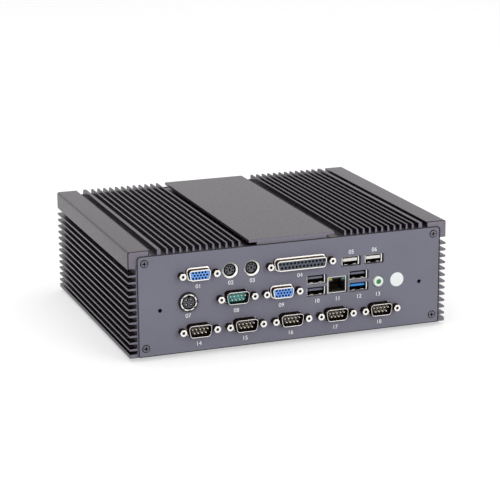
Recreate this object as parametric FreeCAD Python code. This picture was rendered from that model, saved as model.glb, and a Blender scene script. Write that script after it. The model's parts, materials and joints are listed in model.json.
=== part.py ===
"""Fanless box computer: a finned aluminium housing with a full row of rear ports.

Millimetres, +Z up.  The port panel faces -Y and the panel with the power button faces +Y.
The origin is at the bottom centre of the whole object, so z = 0 is under the rubber feet.
Heights named *_HEIGHT_ABOVE_BASE are measured from the underside of the housing.
"""

import FreeCAD, Part
import math
import os
from FreeCAD import Rotation, Vector

# Housing
HOUSING_WIDTH = 241.7
HOUSING_DEPTH = 192.0
HOUSING_HEIGHT = 76.6
FOOT_HEIGHT = 2.5
FOOT_RADIUS = 6.0
FOOT_TAPER = 0.5
FOOT_INSET = 28.85

# How finely round shapes are drawn
CORNER_STEPS = 2
SMALL_ROUND = 3.5
SMALL_ROUND_SIDES = 10
LARGE_ROUND_SIDES = 20

# Fins of the three extrusions
FIN_HEIGHT = 4.2
FIN_PITCH = 4.83
SIDE_FIN_HEIGHT = 5.5
FIN_TIP = 1.4
FIN_ROOT = 1.9
FIN_TIP_RADIUS = 0.4
FIN_ROOT_ROOM = 1.4
FIRST_SIDE_FIN_DROP = 4.75

# Top extrusion
TABLE_WIDTH = 65.0
TABLE_THICKNESS = 2.0
TABLE_OVERHANG = 6.0
LEFT_TABLE_TO_FIN = 6.85
RIGHT_TABLE_TO_FIN = 8.35
END_FIN_TIP = 2.7
END_FIN_ROOT = 3.2
LEFT_END_FIN_TO_BLOCK = 6.9
RIGHT_END_FIN_TO_BLOCK = 5.3
END_FIN_ROOM = 5.5
TOP_PLATE_THICKNESS = 4.0
BLOCK_WIDTH = 15.55
BLOCK_HEIGHT = 12.6
BLOCK_RADIUS = 1.5
EDGE_RADIUS = 0.4

# Side extrusions
SIDE_WALL = 2.55
TONGUE_THICKNESS = 1.8
TONGUE_LENGTH = 2.8
TONGUE_CLEARANCE = 0.1
LIP_HEIGHT = 2.8
FLANGE_REACH = 10.0
FLANGE_THICKNESS = 3.0
BOSS_SIZE = 3.6
BOSS_RADIUS = 2.5

# Panels and base plate
PANEL_THICKNESS = 2.0
PANEL_SIDE_MARGIN = 6.6
PANEL_TOP_MARGIN = FIN_HEIGHT
PANEL_BOTTOM_MARGIN = 1.0
PANEL_TOP_RADIUS = 2.2
PANEL_BOTTOM_RADIUS = 0.6
BASE_THICKNESS = 1.5
BASE_CLEARANCE = 0.15
BASE_BOLT_SPACING = 100.0
BASE_BOLT_RADIUS = 1.65

# Screws
SCREW_RADIUS = 1.5
SCREW_HEAD_RADIUS = 2.9
SCREW_CLEARANCE = 0.05
HEAD_CLEARANCE = 0.1
PANEL_SCREW_LENGTH = 12.0
PANEL_SCREW_INSET = 11.25
UPPER_SCREW_DROP = 8.9
LOWER_SCREW_RISE = 6.5
BASE_SCREW_LENGTH = 4.6
BASE_SCREW_SIDE_INSET = 14.85
BASE_SCREW_END_INSET = 16.0
SIDE_HOLE_INSET = 21.95
SIDE_HOLE_HEIGHT_ABOVE_BASE = 33.0
SIDE_HOLE_RADIUS = 1.5

# Circuit boards
BOARD_THICKNESS = 1.6
MAIN_BOARD_SIZE = 170.0
MAIN_BOARD_SETBACK = 4.0
MAIN_BOARD_TOP_ABOVE_BASE = 31.0
UPPER_BOARD_ABOVE_MAIN = 19.6
LOWER_BOARD_TOP_ABOVE_BASE = 9.9
UPPER_BOARD_X = (-92.0, 78.0)
UPPER_BOARD_DEPTH = 40.0
LOWER_BOARD_X = (-92.0, 88.0)
LOWER_BOARD_DEPTH = 26.0
IO_BOARD_SETBACK = 1.0
STANDOFF_SIZE = 5.5
STANDOFF_INSET = 4.0
UPPER_STANDOFF_X = (-62.0, 70.0)
LOWER_STANDOFF_X = (-54.0, -19.0, 16.0, 50.0)
BOARD_SCREW_HEAD = 5.5
BOARD_SCREW_HEAD_HEIGHT = 2.0
BOARD_SCREW_SHANK = 2.6
STANDOFF_HOLE_CLEARANCE = 0.8

# D-shaped connectors
DSUB_SPACING_SMALL = 24.99
DSUB_SPACING_LARGE = 47.04
DSUB_FLANGE_EXTRA = 5.9
DSUB_FLANGE_HEIGHT = 12.4
DSUB_FLANGE_THICKNESS = 1.0
DSUB_SLOPE = math.radians(10.0)
DSUB_REACH = 6.7
DSUB_WALL = 0.6
DSUB_RADIUS = 2.6
DSUB_AXIS_ABOVE_BOARD = 6.2
DSUB_BODY_DEPTH = 9.0
DSUB_BODY_MARGIN = 5.0
DSUB_CUTOUT_TO_SCREWS = 2.45
DSUB_CUTOUT_HEIGHT = 10.0
DSUB_CUTOUT_RADIUS = 3.2
DSUB_INSERT_CLEARANCE = 0.05
PLUG_WIDTH = 17.7
PLUG_HEIGHT = 8.9
SOCKET_WIDTH_SMALL = 16.5
SOCKET_WIDTH_LARGE = 38.4
SOCKET_HEIGHT = 7.7
SOCKET_FACE_RECESS = 0.3
PLUG_FACE_ABOVE_FLANGE = 0.8
PIN_SIZE = 1.0
PIN_RECESS = 0.7
CONTACT_HOLE_SIZE = 1.1
CONTACT_HOLE_DEPTH = 3.0
CONTACT_PITCH = 2.77
CONTACT_ROW_PITCH = 2.84
DENSE_PITCH = 2.29
DENSE_ROW_PITCH = 1.98
JACKSCREW_SIZE = 4.8
JACKSCREW_HEAD = 4.8
JACKSCREW_SHANK = 2.4
JACKSCREW_BORE_RADIUS = 1.25
JACKSCREW_BORE_DEPTH = 4.0
JACKSCREW_CLEARANCE = 0.2

# Places of the ports along the panel
VGA_1_X = -8.8
VGA_2_X = -70.8
PARALLEL_X = 5.3
SERIAL_1_X = -42.8
LOWER_SERIAL_FIRST_X = -71.0
LOWER_SERIAL_PITCH = 34.55
LOWER_SERIAL_COUNT = 5
KEYBOARD_X = -46.8
MOUSE_X = -30.65
POWER_INLET_X = -78.5
USB_SINGLE_X = (44.9, 62.9)
USB_STACK_X = (18.4, 51.1)
LAN_X = 34.5
AUDIO_X = 66.0
STICKER_X = 81.0
STICKER_HEIGHT_ABOVE_BASE = 36.5
STICKER_RADIUS = 5.25
STICKER_THICKNESS = 0.15
PORT_CLEARANCE = 0.2

# Small round keyboard and mouse sockets
MINI_DIN_AXIS_ABOVE_BOARD = 5.9
MINI_DIN_RADIUS = 5.9
MINI_DIN_WALL = 0.5
MINI_DIN_RECESS = 1.0
MINI_DIN_CORE_RADIUS = 3.8
MINI_DIN_CORE_RECESS = 1.2
MINI_DIN_CONTACT_CIRCLE = 2.6
MINI_DIN_CONTACT_ANGLES = (20.0, 70.0, 110.0, 160.0, 215.0, 325.0)
MINI_DIN_KEY = (1.2, 2.2)
MINI_DIN_BODY = (14.0, 12.0, 11.0)

# Round power inlet
INLET_AXIS_ABOVE_BOARD = 6.3
INLET_RADIUS = 6.8
INLET_WALL = 0.75
INLET_OUT = 2.5
INLET_SHIELD_WALL = 0.45
INLET_SHIELD_RECESS = 0.5
INLET_CORE_RADIUS = 4.2
INLET_CORE_RECESS = 0.7
INLET_CONTACT_SIZE = 1.8
INLET_CONTACT_SPACING = 3.4
INLET_BODY = (14.5, 13.6, 9.0)

# Rectangular data sockets
USB_WALL = 0.4
USB_RECESS = 1.6
USB_SINGLE = (13.6, 6.4, 14.0)
USB_SINGLE_CUTOUT = (15.4, 7.2)
USB_STACK = (14.2, 15.0, 17.0)
USB_MOUTH = (13.0, 5.4)
USB_MOUTH_CUTOUT = (15.4, 6.8)
USB_STACK_PITCH = 8.8
USB_TONGUE = (11.0, 1.5)
USB_TONGUE_RECESS = 1.0
USB_TONGUE_RISE = 0.75
USB_REAR_BLOCK = 4.0
USB_INSERT_CLEARANCE = 0.05
LAN_SIZE = (14.6, 12.4, 16.0)
LAN_CUTOUT = (15.7, 12.8)
LAN_WALL = 0.7
LAN_PLUG = (11.9, 7.2, 12.0)
LAN_PLUG_RISE = 0.9
LAN_LATCH = (6.2, 1.9)
LAN_LED = (2.8, 2.1, 3.0)

# Audio socket
AUDIO_AXIS_ABOVE_BOARD = 5.7
AUDIO_RADIUS = 3.8
AUDIO_GAP = 0.5
AUDIO_OUT = 1.6
AUDIO_BORE_RADIUS = 1.8
AUDIO_BORE_DEPTH = 14.0
AUDIO_BODY = (9.0, 10.5, 13.5)

# Power button and lamps on the front panel
BUTTON_X = -85.0
BUTTON_HEIGHT_ABOVE_BASE = 45.0
BUTTON_CAP_OUT = 1.8
BUTTON_CAP_LENGTH = 7.0
BUTTON_CAP_DISH = 0.4
BUTTON_GAP = 0.25
BUTTON_TRAVEL = 1.5
BUTTON_SPARE = 0.4
BEZEL_LIP = 1.6
BEZEL_OUT = 2.0
BARREL_RADIUS = 7.9
BARREL_WALL = 1.65
BARREL_CLEARANCE = 0.1
BARREL_LENGTH = 14.0
NUT_WALL = 1.6
NUT_THICKNESS = 3.0
NUT_CLEARANCE = 0.05
LED_X = (-62.0, -52.0)
LED_RADIUS = 1.5
LED_OUT = 0.8
LED_LENGTH = 5.0
LED_CLEARANCE = 0.1

# Inner parts
PROCESSOR = (27.0, 25.0, 1.2)
THERMAL_PAD_THICKNESS = 0.5
HEAT_BLOCK_STEM = 40.0
HEAT_BLOCK_HEAD = 58.0
HEAT_BLOCK_HEAD_HEIGHT = 8.0
MEMORY_SIZE = (30.0, 67.6, 1.2)
MEMORY_X = 44.0
MEMORY_Y = -5.0
MEMORY_LIFT = 3.2
MEMORY_CHIP = (11.0, 13.0, 1.0)
SOCKET_LENGTH = 73.0
SOCKET_WIDTH = 6.0
SOCKET_HEIGHT_ABOVE_BOARD = 5.2
DRIVE_SIZE = (69.85, 100.0, 7.0)
DRIVE_Y = 10.0
CELL_RADIUS = 10.0
CELL_THICKNESS = 3.2
CELL_PLACE = (-62.0, 20.0)
CELL_HOLDER = (23.0, 23.0, 1.0)
RIBBON_THICKNESS = 1.0
RIBBON_BEND = 3.0
UPPER_RIBBON_X = (-40.0, -7.0)
SIDE_RIBBON_REACH = 12.0
SIDE_RIBBON_LENGTH = 16.0
DRIVE_CABLE_X = (-18.0, -6.0)
COIL_SIZE = (7.0, 4.0)
COIL_PLACE = (-80.0, 45.0)
COIL_PITCH = 11.2
COIL_COUNT = 5
HEADER_HEIGHT = 6.0
HEADER_WIDTH = 6.0

# Planes worked out from the sizes above
TOTAL_DEPTH = JACKSCREW_HEAD + HOUSING_DEPTH + 2 * PANEL_THICKNESS + BEZEL_OUT + BUTTON_CAP_OUT
IO_FACE = JACKSCREW_HEAD - TOTAL_DEPTH / 2
IO_BACK = IO_FACE + PANEL_THICKNESS
FRONT_BACK = IO_BACK + HOUSING_DEPTH
FRONT_FACE = FRONT_BACK + PANEL_THICKNESS
BASE = FOOT_HEIGHT
BASE_TOP = BASE + BASE_THICKNESS
TOP = BASE + HOUSING_HEIGHT
FLOOR = TOP - FIN_HEIGHT
PLATE_UNDERSIDE = FLOOR - TOP_PLATE_THICKNESS
BLOCK_BOTTOM = TOP - BLOCK_HEIGHT
HALF_WIDTH = HOUSING_WIDTH / 2
WALL_OUTER = HALF_WIDTH - SIDE_FIN_HEIGHT
WALL_INNER = WALL_OUTER - SIDE_WALL
TONGUE_INNER = WALL_INNER + (SIDE_WALL - TONGUE_THICKNESS) / 2
TONGUE_OUTER = TONGUE_INNER + TONGUE_THICKNESS
PANEL_SCREW_X = HALF_WIDTH - PANEL_SCREW_INSET
UPPER_SCREW_Z = TOP - UPPER_SCREW_DROP
LOWER_SCREW_Z = BASE + LOWER_SCREW_RISE
BASE_SCREW_X = HALF_WIDTH - BASE_SCREW_SIDE_INSET
MAIN_TOP = BASE + MAIN_BOARD_TOP_ABOVE_BASE
UPPER_TOP = MAIN_TOP + UPPER_BOARD_ABOVE_MAIN
LOWER_TOP = BASE + LOWER_BOARD_TOP_ABOVE_BASE
MAIN_BOARD_Y = IO_BACK + MAIN_BOARD_SETBACK
IO_BOARD_Y = IO_BACK + IO_BOARD_SETBACK
MIDDLE_ROW = MAIN_TOP + DSUB_AXIS_ABOVE_BOARD
UPPER_ROW = UPPER_TOP + DSUB_AXIS_ABOVE_BOARD
LOWER_ROW = LOWER_TOP + DSUB_AXIS_ABOVE_BOARD
FLANGE_BACK = IO_BACK + DSUB_FLANGE_THICKNESS
PLUG_FACE = IO_BACK - PLUG_FACE_ABOVE_FLANGE
DSUB_RIM = IO_BACK - DSUB_REACH
BUTTON_CAP_RADIUS = BARREL_RADIUS - BARREL_WALL - BUTTON_GAP
MAIN_BOARD_HOLES = [
    (6.35, 10.16),
    (163.83, 33.02),
    (6.35, 165.1),
    (163.83, 165.1),
]


def across(y):
    """Maps outline corners to the upright plane at y, across the housing."""
    return lambda u, v: Vector(u, y, v)


def along(x):
    """Maps outline corners to the upright plane at x, along the housing."""
    return lambda u, v: Vector(x, u, v)


def flat(z):
    """Maps outline corners to the level plane at z."""
    return lambda u, v: Vector(u, v, z)


def outline(corners, plane):
    """Closed wire through (u, v, radius) corners, each rounded by its own radius in a few chords."""
    points = [plane(u, v) for u, v, _ in corners]
    rounded = []
    for i, corner in enumerate(points):
        radius = corners[i][2]
        if radius == 0:
            rounded.append(corner)
            continue
        before = (points[i - 1] - corner).normalize()
        after = (points[(i + 1) % len(points)] - corner).normalize()
        half_angle = before.getAngle(after) / 2
        centre = corner + (before + after).normalize() * (radius / math.sin(half_angle))
        enter = corner + before * (radius / math.tan(half_angle)) - centre
        leave = corner + after * (radius / math.tan(half_angle)) - centre
        turn = math.pi - 2 * half_angle
        for step in range(CORNER_STEPS + 1):
            share = step / CORNER_STEPS
            spoke = enter * math.sin((1 - share) * turn) + leave * math.sin(share * turn)
            rounded.append(centre + spoke / math.sin(turn))
    return Part.makePolygon(rounded + rounded[:1])


def prism(corners, y0, y1):
    """Solid with an outline across the housing, from y0 to y1."""
    return Part.Face(outline(corners, across(y0))).extrude(Vector(0, y1 - y0, 0))


def box(x0, x1, y0, y1, z0, z1):
    return Part.makeBox(x1 - x0, y1 - y0, z1 - z0, Vector(x0, y0, z0))


def block(x, width, y0, y1, z0, z1):
    """Box of that width, centred on x."""
    return box(x - width / 2, x + width / 2, y0, y1, z0, z1)


def bore(x, z, radius, y0, y1):
    """True cylinder along Y, for what fits another part or slides."""
    return Part.makeCylinder(radius, y1 - y0, Vector(x, y0, z), Vector(0, 1, 0))


def circle(u, v, radius):
    """Corners of a many-sided circle, with fewer sides where it is small."""
    sides = SMALL_ROUND_SIDES if radius < SMALL_ROUND else LARGE_ROUND_SIDES
    angles = [2 * math.pi * i / sides for i in range(sides)]
    return [(u + radius * math.cos(a), v + radius * math.sin(a), 0.0) for a in angles]


def rod(x, z, radius, y0, y1):
    """Round bar along Y, made of flat sides."""
    return prism(circle(x, z, radius), y0, y1)


def post(x, y, radius, z0, z1):
    """Round bar along Z, made of flat sides."""
    return Part.Face(outline(circle(x, y, radius), flat(z0))).extrude(Vector(0, 0, z1 - z0))


def rectangle(x, z, width, height):
    """Corners of a rectangle centred on x and z."""
    half = width / 2
    rise = height / 2
    return [
        (x - half, z - rise, 0.0),
        (x + half, z - rise, 0.0),
        (x + half, z + rise, 0.0),
        (x - half, z + rise, 0.0),
    ]


def d_shape(x, z, width, height, radius):
    """Corners of a D-shaped connector, with the wide side up."""
    top = width / 2
    bottom = top - height * math.tan(DSUB_SLOPE)
    rise = height / 2
    return [
        (x - bottom, z - rise, radius),
        (x + bottom, z - rise, radius),
        (x + top, z + rise, radius),
        (x - top, z + rise, radius),
    ]


def hexagon(u, v, size):
    """Corners of a hexagon with that distance across its flats."""
    circle = size / math.sqrt(3)
    angles = [math.radians(60 * i) for i in range(6)]
    return [(u + circle * math.cos(a), v + circle * math.sin(a), 0.0) for a in angles]


def hex_rod(x, z, size, y0, y1):
    """Hexagonal bar along Y."""
    return prism(hexagon(x, z, size), y0, y1)


def hex_post(x, y, size, z0, z1):
    """Hexagonal bar along Z."""
    face = Part.Face(outline(hexagon(x, y, size), flat(z0)))
    return face.extrude(Vector(0, 0, z1 - z0))


def band(points, plane, width):
    """Flat cable of even thickness along the points of a plane, with that width across it."""
    near = []
    far = []
    for i, (y, z) in enumerate(points):
        here = Vector(y, z, 0)
        into = here - Vector(*points[i - 1], 0) if i > 0 else None
        out = Vector(*points[i + 1], 0) - here if i < len(points) - 1 else None
        into = (into or out).normalize()
        out = (out or into).normalize()
        normal = (Vector(-into.y, into.x, 0) + Vector(-out.y, out.x, 0)).normalize()
        reach = RIBBON_THICKNESS / 2 / math.cos(into.getAngle(out) / 2)
        left = here + normal * reach
        right = here - normal * reach
        near.append((left.x, left.y, 0.0))
        far.append((right.x, right.y, 0.0))
    return Part.Face(outline(near + far[::-1], plane)).extrude(width)


def mirrored(corners):
    """The same outline on the other side of the housing, in the same sense of travel."""
    return [(-u, v, radius) for u, v, radius in reversed(corners)]


def fin(centre, height, tip, root):
    """One tapered fin with a rounded tip, as (place along the row, height, radius)."""
    return [
        (centre - root / 2, 0.0, 0.0),
        (centre - tip / 2, height, FIN_TIP_RADIUS),
        (centre + tip / 2, height, FIN_TIP_RADIUS),
        (centre + root / 2, 0.0, 0.0),
    ]


def top_half(table_to_fin, end_fin_to_block):
    """Half of the top extrusion's profile, on the right: half the table, a row of fins and a corner block."""
    table = TABLE_WIDTH / 2
    stem = table - TABLE_OVERHANG
    half = [
        (table, TOP, EDGE_RADIUS),
        (table, TOP - TABLE_THICKNESS, EDGE_RADIUS),
        (stem, TOP - TABLE_THICKNESS, 0.0),
        (stem, FLOOR, 0.0),
    ]
    first = table + table_to_fin
    block_inner = HALF_WIDTH - BLOCK_WIDTH
    end_fin = block_inner - end_fin_to_block
    count = 1 + int((end_fin - END_FIN_ROOM - first) / FIN_PITCH)
    row = []
    for i in range(count):
        row += fin(first + FIN_PITCH * i, FIN_HEIGHT, FIN_TIP, FIN_ROOT)
    row += fin(end_fin, FIN_HEIGHT, END_FIN_TIP, END_FIN_ROOT)
    half += [(u, FLOOR + v, radius) for u, v, radius in row]
    groove_inner = TONGUE_INNER - TONGUE_CLEARANCE
    groove_outer = TONGUE_OUTER + TONGUE_CLEARANCE
    groove_top = BLOCK_BOTTOM + TONGUE_LENGTH + TONGUE_CLEARANCE
    half += [
        (block_inner, FLOOR, 0.0),
        (block_inner, TOP, EDGE_RADIUS),
        (HALF_WIDTH, TOP, BLOCK_RADIUS),
        (HALF_WIDTH, BLOCK_BOTTOM, EDGE_RADIUS),
        (groove_outer, BLOCK_BOTTOM, 0.0),
        (groove_outer, groove_top, 0.0),
        (groove_inner, groove_top, 0.0),
        (groove_inner, BLOCK_BOTTOM, 0.0),
        (block_inner, BLOCK_BOTTOM, 0.0),
        (block_inner, PLATE_UNDERSIDE, 0.0),
    ]
    return half


def top_heatsink():
    """Top extrusion: a raised centre table, a row of fins on each side and two corner blocks."""
    right = top_half(RIGHT_TABLE_TO_FIN, RIGHT_END_FIN_TO_BLOCK)
    left = mirrored(top_half(LEFT_TABLE_TO_FIN, LEFT_END_FIN_TO_BLOCK))
    body = prism(right + left, IO_BACK, FRONT_BACK)
    return body.cut([screw_port(side * PANEL_SCREW_X, UPPER_SCREW_Z) for side in (-1, 1)])


def screw_port(x, z):
    """Round channel along an extrusion that takes the panel screws at both ends."""
    return rod(x, z, SCREW_RADIUS + SCREW_CLEARANCE, IO_BACK, FRONT_BACK)


def side_heatsink(side):
    """Side extrusion: outer fins, a tongue into the top, a screw boss and a flange for the base."""
    first_fin = BLOCK_BOTTOM - FIRST_SIDE_FIN_DROP
    lip_root = BASE + LIP_HEIGHT + (FIN_ROOT - FIN_TIP) / 2
    last_room = lip_root + FIN_ROOT / 2 + FIN_ROOT_ROOM
    count = 1 + int((first_fin - last_room) / FIN_PITCH)
    corners = [
        (TONGUE_INNER, BLOCK_BOTTOM + TONGUE_LENGTH, 0.0),
        (TONGUE_OUTER, BLOCK_BOTTOM + TONGUE_LENGTH, 0.0),
        (TONGUE_OUTER, BLOCK_BOTTOM, 0.0),
        (WALL_OUTER, BLOCK_BOTTOM, 0.0),
    ]
    for i in range(count):
        row = fin(FIN_PITCH * i - first_fin, SIDE_FIN_HEIGHT, FIN_TIP, FIN_ROOT)
        corners += [(WALL_OUTER + v, -u, radius) for u, v, radius in row]
    boss_inner = PANEL_SCREW_X - BOSS_SIZE
    boss_top = LOWER_SCREW_Z + BOSS_SIZE
    flange_inner = WALL_INNER - FLANGE_REACH
    flange_top = BASE_TOP + FLANGE_THICKNESS
    corners += [
        (WALL_OUTER, lip_root, 0.0),
        (HALF_WIDTH, BASE + LIP_HEIGHT, EDGE_RADIUS),
        (HALF_WIDTH, BASE, EDGE_RADIUS),
        (WALL_OUTER, BASE, 0.0),
        (WALL_OUTER, BASE_TOP, 0.0),
        (flange_inner, BASE_TOP, 0.0),
        (flange_inner, flange_top, 0.0),
        (boss_inner, flange_top, 0.0),
        (boss_inner, boss_top, BOSS_RADIUS),
        (WALL_INNER, boss_top, 0.0),
        (WALL_INNER, BLOCK_BOTTOM, 0.0),
        (TONGUE_INNER, BLOCK_BOTTOM, 0.0),
    ]
    if side < 0:
        corners = mirrored(corners)
    pilot = SCREW_RADIUS + SCREW_CLEARANCE
    pilot_top = BASE + BASE_SCREW_LENGTH + HEAD_CLEARANCE
    cutters = [screw_port(side * PANEL_SCREW_X, LOWER_SCREW_Z)]
    for y in base_screw_rows():
        cutters.append(post(side * BASE_SCREW_X, y, pilot, BASE, pilot_top))
    return prism(corners, IO_BACK, FRONT_BACK).cut(cutters)


def base_screw_rows():
    return [IO_BACK + BASE_SCREW_END_INSET, FRONT_BACK - BASE_SCREW_END_INSET]


def base_screw_places():
    """Screws that hold the base to the flanges of the two side extrusions."""
    return [(side * BASE_SCREW_X, y) for side in (-1, 1) for y in base_screw_rows()]


def base_bolt_places():
    half = BASE_BOLT_SPACING / 2
    return [(i * half, k * half) for i in (-1, 1) for k in (-1, 1)]


def base_plate():
    """Sheet-metal base with tapped holes for a bracket and countersunk screw holes."""
    reach = WALL_OUTER - BASE_CLEARANCE
    y0 = IO_BACK + BASE_CLEARANCE
    y1 = FRONT_BACK - BASE_CLEARANCE
    plate = box(-reach, reach, y0, y1, BASE, BASE_TOP)
    cutters = []
    for x, y in base_bolt_places():
        cutters.append(Part.makeCylinder(BASE_BOLT_RADIUS, BASE_THICKNESS, Vector(x, y, BASE)))
    for x, y in base_screw_places():
        cutters.append(countersink(BASE_THICKNESS).translated(Vector(x, y, BASE)))
    return plate.cut(cutters)


def cone(wide, narrow, depth):
    """Flat-sided cone that points up from z = 0."""
    wires = [outline(circle(0.0, 0.0, wide), flat(0.0)), outline(circle(0.0, 0.0, narrow), flat(depth))]
    return Part.makeLoft(wires, True, True)


def countersink(depth):
    """Cutter for a flat-headed screw whose head is flush at z = 0 and points up."""
    return cone(SCREW_HEAD_RADIUS + HEAD_CLEARANCE, SCREW_RADIUS + HEAD_CLEARANCE, depth)


def flat_screw(length, sheet):
    """Flat-headed screw with its head flush in that thickness of sheet, pointing up."""
    head = cone(SCREW_HEAD_RADIUS, SCREW_RADIUS, sheet)
    return head.fuse(post(0.0, 0.0, SCREW_RADIUS, sheet, length))


def panel_screw_places():
    heights = (UPPER_SCREW_Z, LOWER_SCREW_Z)
    return [(side * PANEL_SCREW_X, height) for side in (-1, 1) for height in heights]


def facing(shape, inward, x, y, z):
    """Turns a shape that points up so that it points along Y, and puts it at x, y, z."""
    turned = shape.copy()
    turned.Placement = FreeCAD.Placement(Vector(x, y, z), Rotation(Vector(1, 0, 0), -90 * inward))
    return turned


def panel_screws():
    screw = flat_screw(PANEL_SCREW_LENGTH, PANEL_THICKNESS)
    solids = []
    for x, z in panel_screw_places():
        solids.append(facing(screw, 1, x, IO_FACE, z))
        solids.append(facing(screw, -1, x, FRONT_FACE, z))
    return Part.makeCompound(solids)


def base_screws():
    screw = flat_screw(BASE_SCREW_LENGTH, BASE_THICKNESS)
    return Part.makeCompound([screw.translated(Vector(x, y, BASE)) for x, y in base_screw_places()])


def rubber_feet():
    """Tapered stick-on feet near the corners of the base."""
    x = HALF_WIDTH - FOOT_INSET
    y = HOUSING_DEPTH / 2 - FOOT_INSET
    middle = (IO_BACK + FRONT_BACK) / 2
    feet = []
    for i in (-1, 1):
        for k in (-1, 1):
            foot = cone(FOOT_RADIUS - FOOT_TAPER, FOOT_RADIUS, FOOT_HEIGHT)
            feet.append(foot.translated(Vector(i * x, middle + k * y, 0)))
    return Part.makeCompound(feet)


def blank_panel(y0, y1):
    half = HALF_WIDTH - PANEL_SIDE_MARGIN
    bottom = BASE + PANEL_BOTTOM_MARGIN
    top = TOP - PANEL_TOP_MARGIN
    corners = [
        (-half, bottom, PANEL_BOTTOM_RADIUS),
        (half, bottom, PANEL_BOTTOM_RADIUS),
        (half, top, PANEL_TOP_RADIUS),
        (-half, top, PANEL_TOP_RADIUS),
    ]
    return prism(corners, y0, y1)


def io_panel():
    """Port panel: one opening for each port, the corner screws and two plain holes."""
    cutters = []
    for x, z in panel_screw_places():
        cutters.append(facing(countersink(PANEL_THICKNESS), 1, x, IO_FACE, z))
    side_hole_x = HALF_WIDTH - SIDE_HOLE_INSET
    side_hole_z = BASE + SIDE_HOLE_HEIGHT_ABOVE_BASE
    for x in (-side_hole_x, side_hole_x):
        cutters.append(rod(x, side_hole_z, SIDE_HOLE_RADIUS, IO_FACE, IO_BACK))
    for port in dsub_ports():
        width = port["spacing"] - 2 * DSUB_CUTOUT_TO_SCREWS
        corners = d_shape(port["x"], port["z"], width, DSUB_CUTOUT_HEIGHT, DSUB_CUTOUT_RADIUS)
        cutters.append(prism(corners, IO_FACE, IO_BACK))
    hole = JACKSCREW_SHANK + 2 * JACKSCREW_CLEARANCE
    for x, z in jackscrew_places():
        cutters.append(hex_rod(x, z, hole, IO_FACE, IO_BACK))
    for x, z, radius in round_ports():
        cutters.append(rod(x, z, radius, IO_FACE, IO_BACK))
    for x, z, size in square_ports():
        cutters.append(prism(rectangle(x, z, *size), IO_FACE, IO_BACK))
    return blank_panel(IO_FACE, IO_BACK).cut(cutters)


def round_ports():
    """Places and radii of the round openings."""
    mini_din_z = UPPER_TOP + MINI_DIN_AXIS_ABOVE_BOARD
    return [
        (KEYBOARD_X, mini_din_z, MINI_DIN_RADIUS + PORT_CLEARANCE),
        (MOUSE_X, mini_din_z, MINI_DIN_RADIUS + PORT_CLEARANCE),
        (POWER_INLET_X, MAIN_TOP + INLET_AXIS_ABOVE_BOARD, INLET_RADIUS + PORT_CLEARANCE),
        (AUDIO_X, MAIN_TOP + AUDIO_AXIS_ABOVE_BOARD, AUDIO_RADIUS + AUDIO_GAP),
    ]


def square_ports():
    """Places and sizes of the rectangular openings."""
    ports = [(LAN_X, MAIN_TOP + LAN_SIZE[1] / 2, LAN_CUTOUT)]
    for x in USB_SINGLE_X:
        ports.append((x, UPPER_TOP + USB_SINGLE[1] / 2, USB_SINGLE_CUTOUT))
    for x in USB_STACK_X:
        for z in usb_stack_mouths():
            ports.append((x, z, USB_MOUTH_CUTOUT))
    return ports


def front_panel():
    cutters = []
    for x, z in panel_screw_places():
        cutters.append(facing(countersink(PANEL_THICKNESS), -1, x, FRONT_FACE, z))
    z = BASE + BUTTON_HEIGHT_ABOVE_BASE
    cutters.append(rod(BUTTON_X, z, BARREL_RADIUS + BARREL_CLEARANCE, FRONT_BACK, FRONT_FACE))
    for x in LED_X:
        cutters.append(rod(x, z, LED_RADIUS + LED_CLEARANCE, FRONT_BACK, FRONT_FACE))
    return blank_panel(FRONT_BACK, FRONT_FACE).cut(cutters)


def inspection_sticker():
    z = BASE + STICKER_HEIGHT_ABOVE_BASE
    return rod(STICKER_X, z, STICKER_RADIUS, IO_FACE - STICKER_THICKNESS, IO_FACE)


def dsub_ports():
    """Every D-shaped port: its name, place, outer shell size and screw spacing."""
    plug = {"kind": "plug", "width": PLUG_WIDTH, "height": PLUG_HEIGHT, "spacing": DSUB_SPACING_SMALL}
    socket = {"height": SOCKET_HEIGHT}
    dense = dict(socket, kind="dense", width=SOCKET_WIDTH_SMALL, spacing=DSUB_SPACING_SMALL)
    large = dict(socket, kind="large", width=SOCKET_WIDTH_LARGE, spacing=DSUB_SPACING_LARGE)
    ports = [
        dict(plug, name="serial_port_1", x=SERIAL_1_X, z=MIDDLE_ROW),
        dict(dense, name="vga_port_1", x=VGA_1_X, z=MIDDLE_ROW),
        dict(dense, name="vga_port_2", x=VGA_2_X, z=UPPER_ROW),
        dict(large, name="parallel_port", x=PARALLEL_X, z=UPPER_ROW),
    ]
    for i in range(LOWER_SERIAL_COUNT):
        x = LOWER_SERIAL_FIRST_X + LOWER_SERIAL_PITCH * i
        ports.append(dict(plug, name=f"serial_port_{i + 2}", x=x, z=LOWER_ROW))
    return ports


def jackscrew_places():
    places = []
    for port in dsub_ports():
        half = port["spacing"] / 2
        places += [(port["x"] - half, port["z"]), (port["x"] + half, port["z"])]
    return places


def dsub_shell(port):
    """Drawn metal shell: a D-shaped tube standing on a flange behind the panel."""
    x, z = port["x"], port["z"]
    flange_width = port["spacing"] + DSUB_FLANGE_EXTRA
    flange = prism(rectangle(x, z, flange_width, DSUB_FLANGE_HEIGHT), IO_BACK, FLANGE_BACK)
    outer = prism(d_shape(x, z, port["width"], port["height"], DSUB_RADIUS), DSUB_RIM, IO_BACK)
    return flange.fuse(outer).cut(prism(dsub_bore(port, 0.0), DSUB_RIM, FLANGE_BACK))


def dsub_bore(port, clearance):
    """Corners of the inside of a shell, less a clearance."""
    inset = 2 * (DSUB_WALL + clearance)
    radius = DSUB_RADIUS - DSUB_WALL
    return d_shape(port["x"], port["z"], port["width"] - inset, port["height"] - inset, radius)


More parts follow.
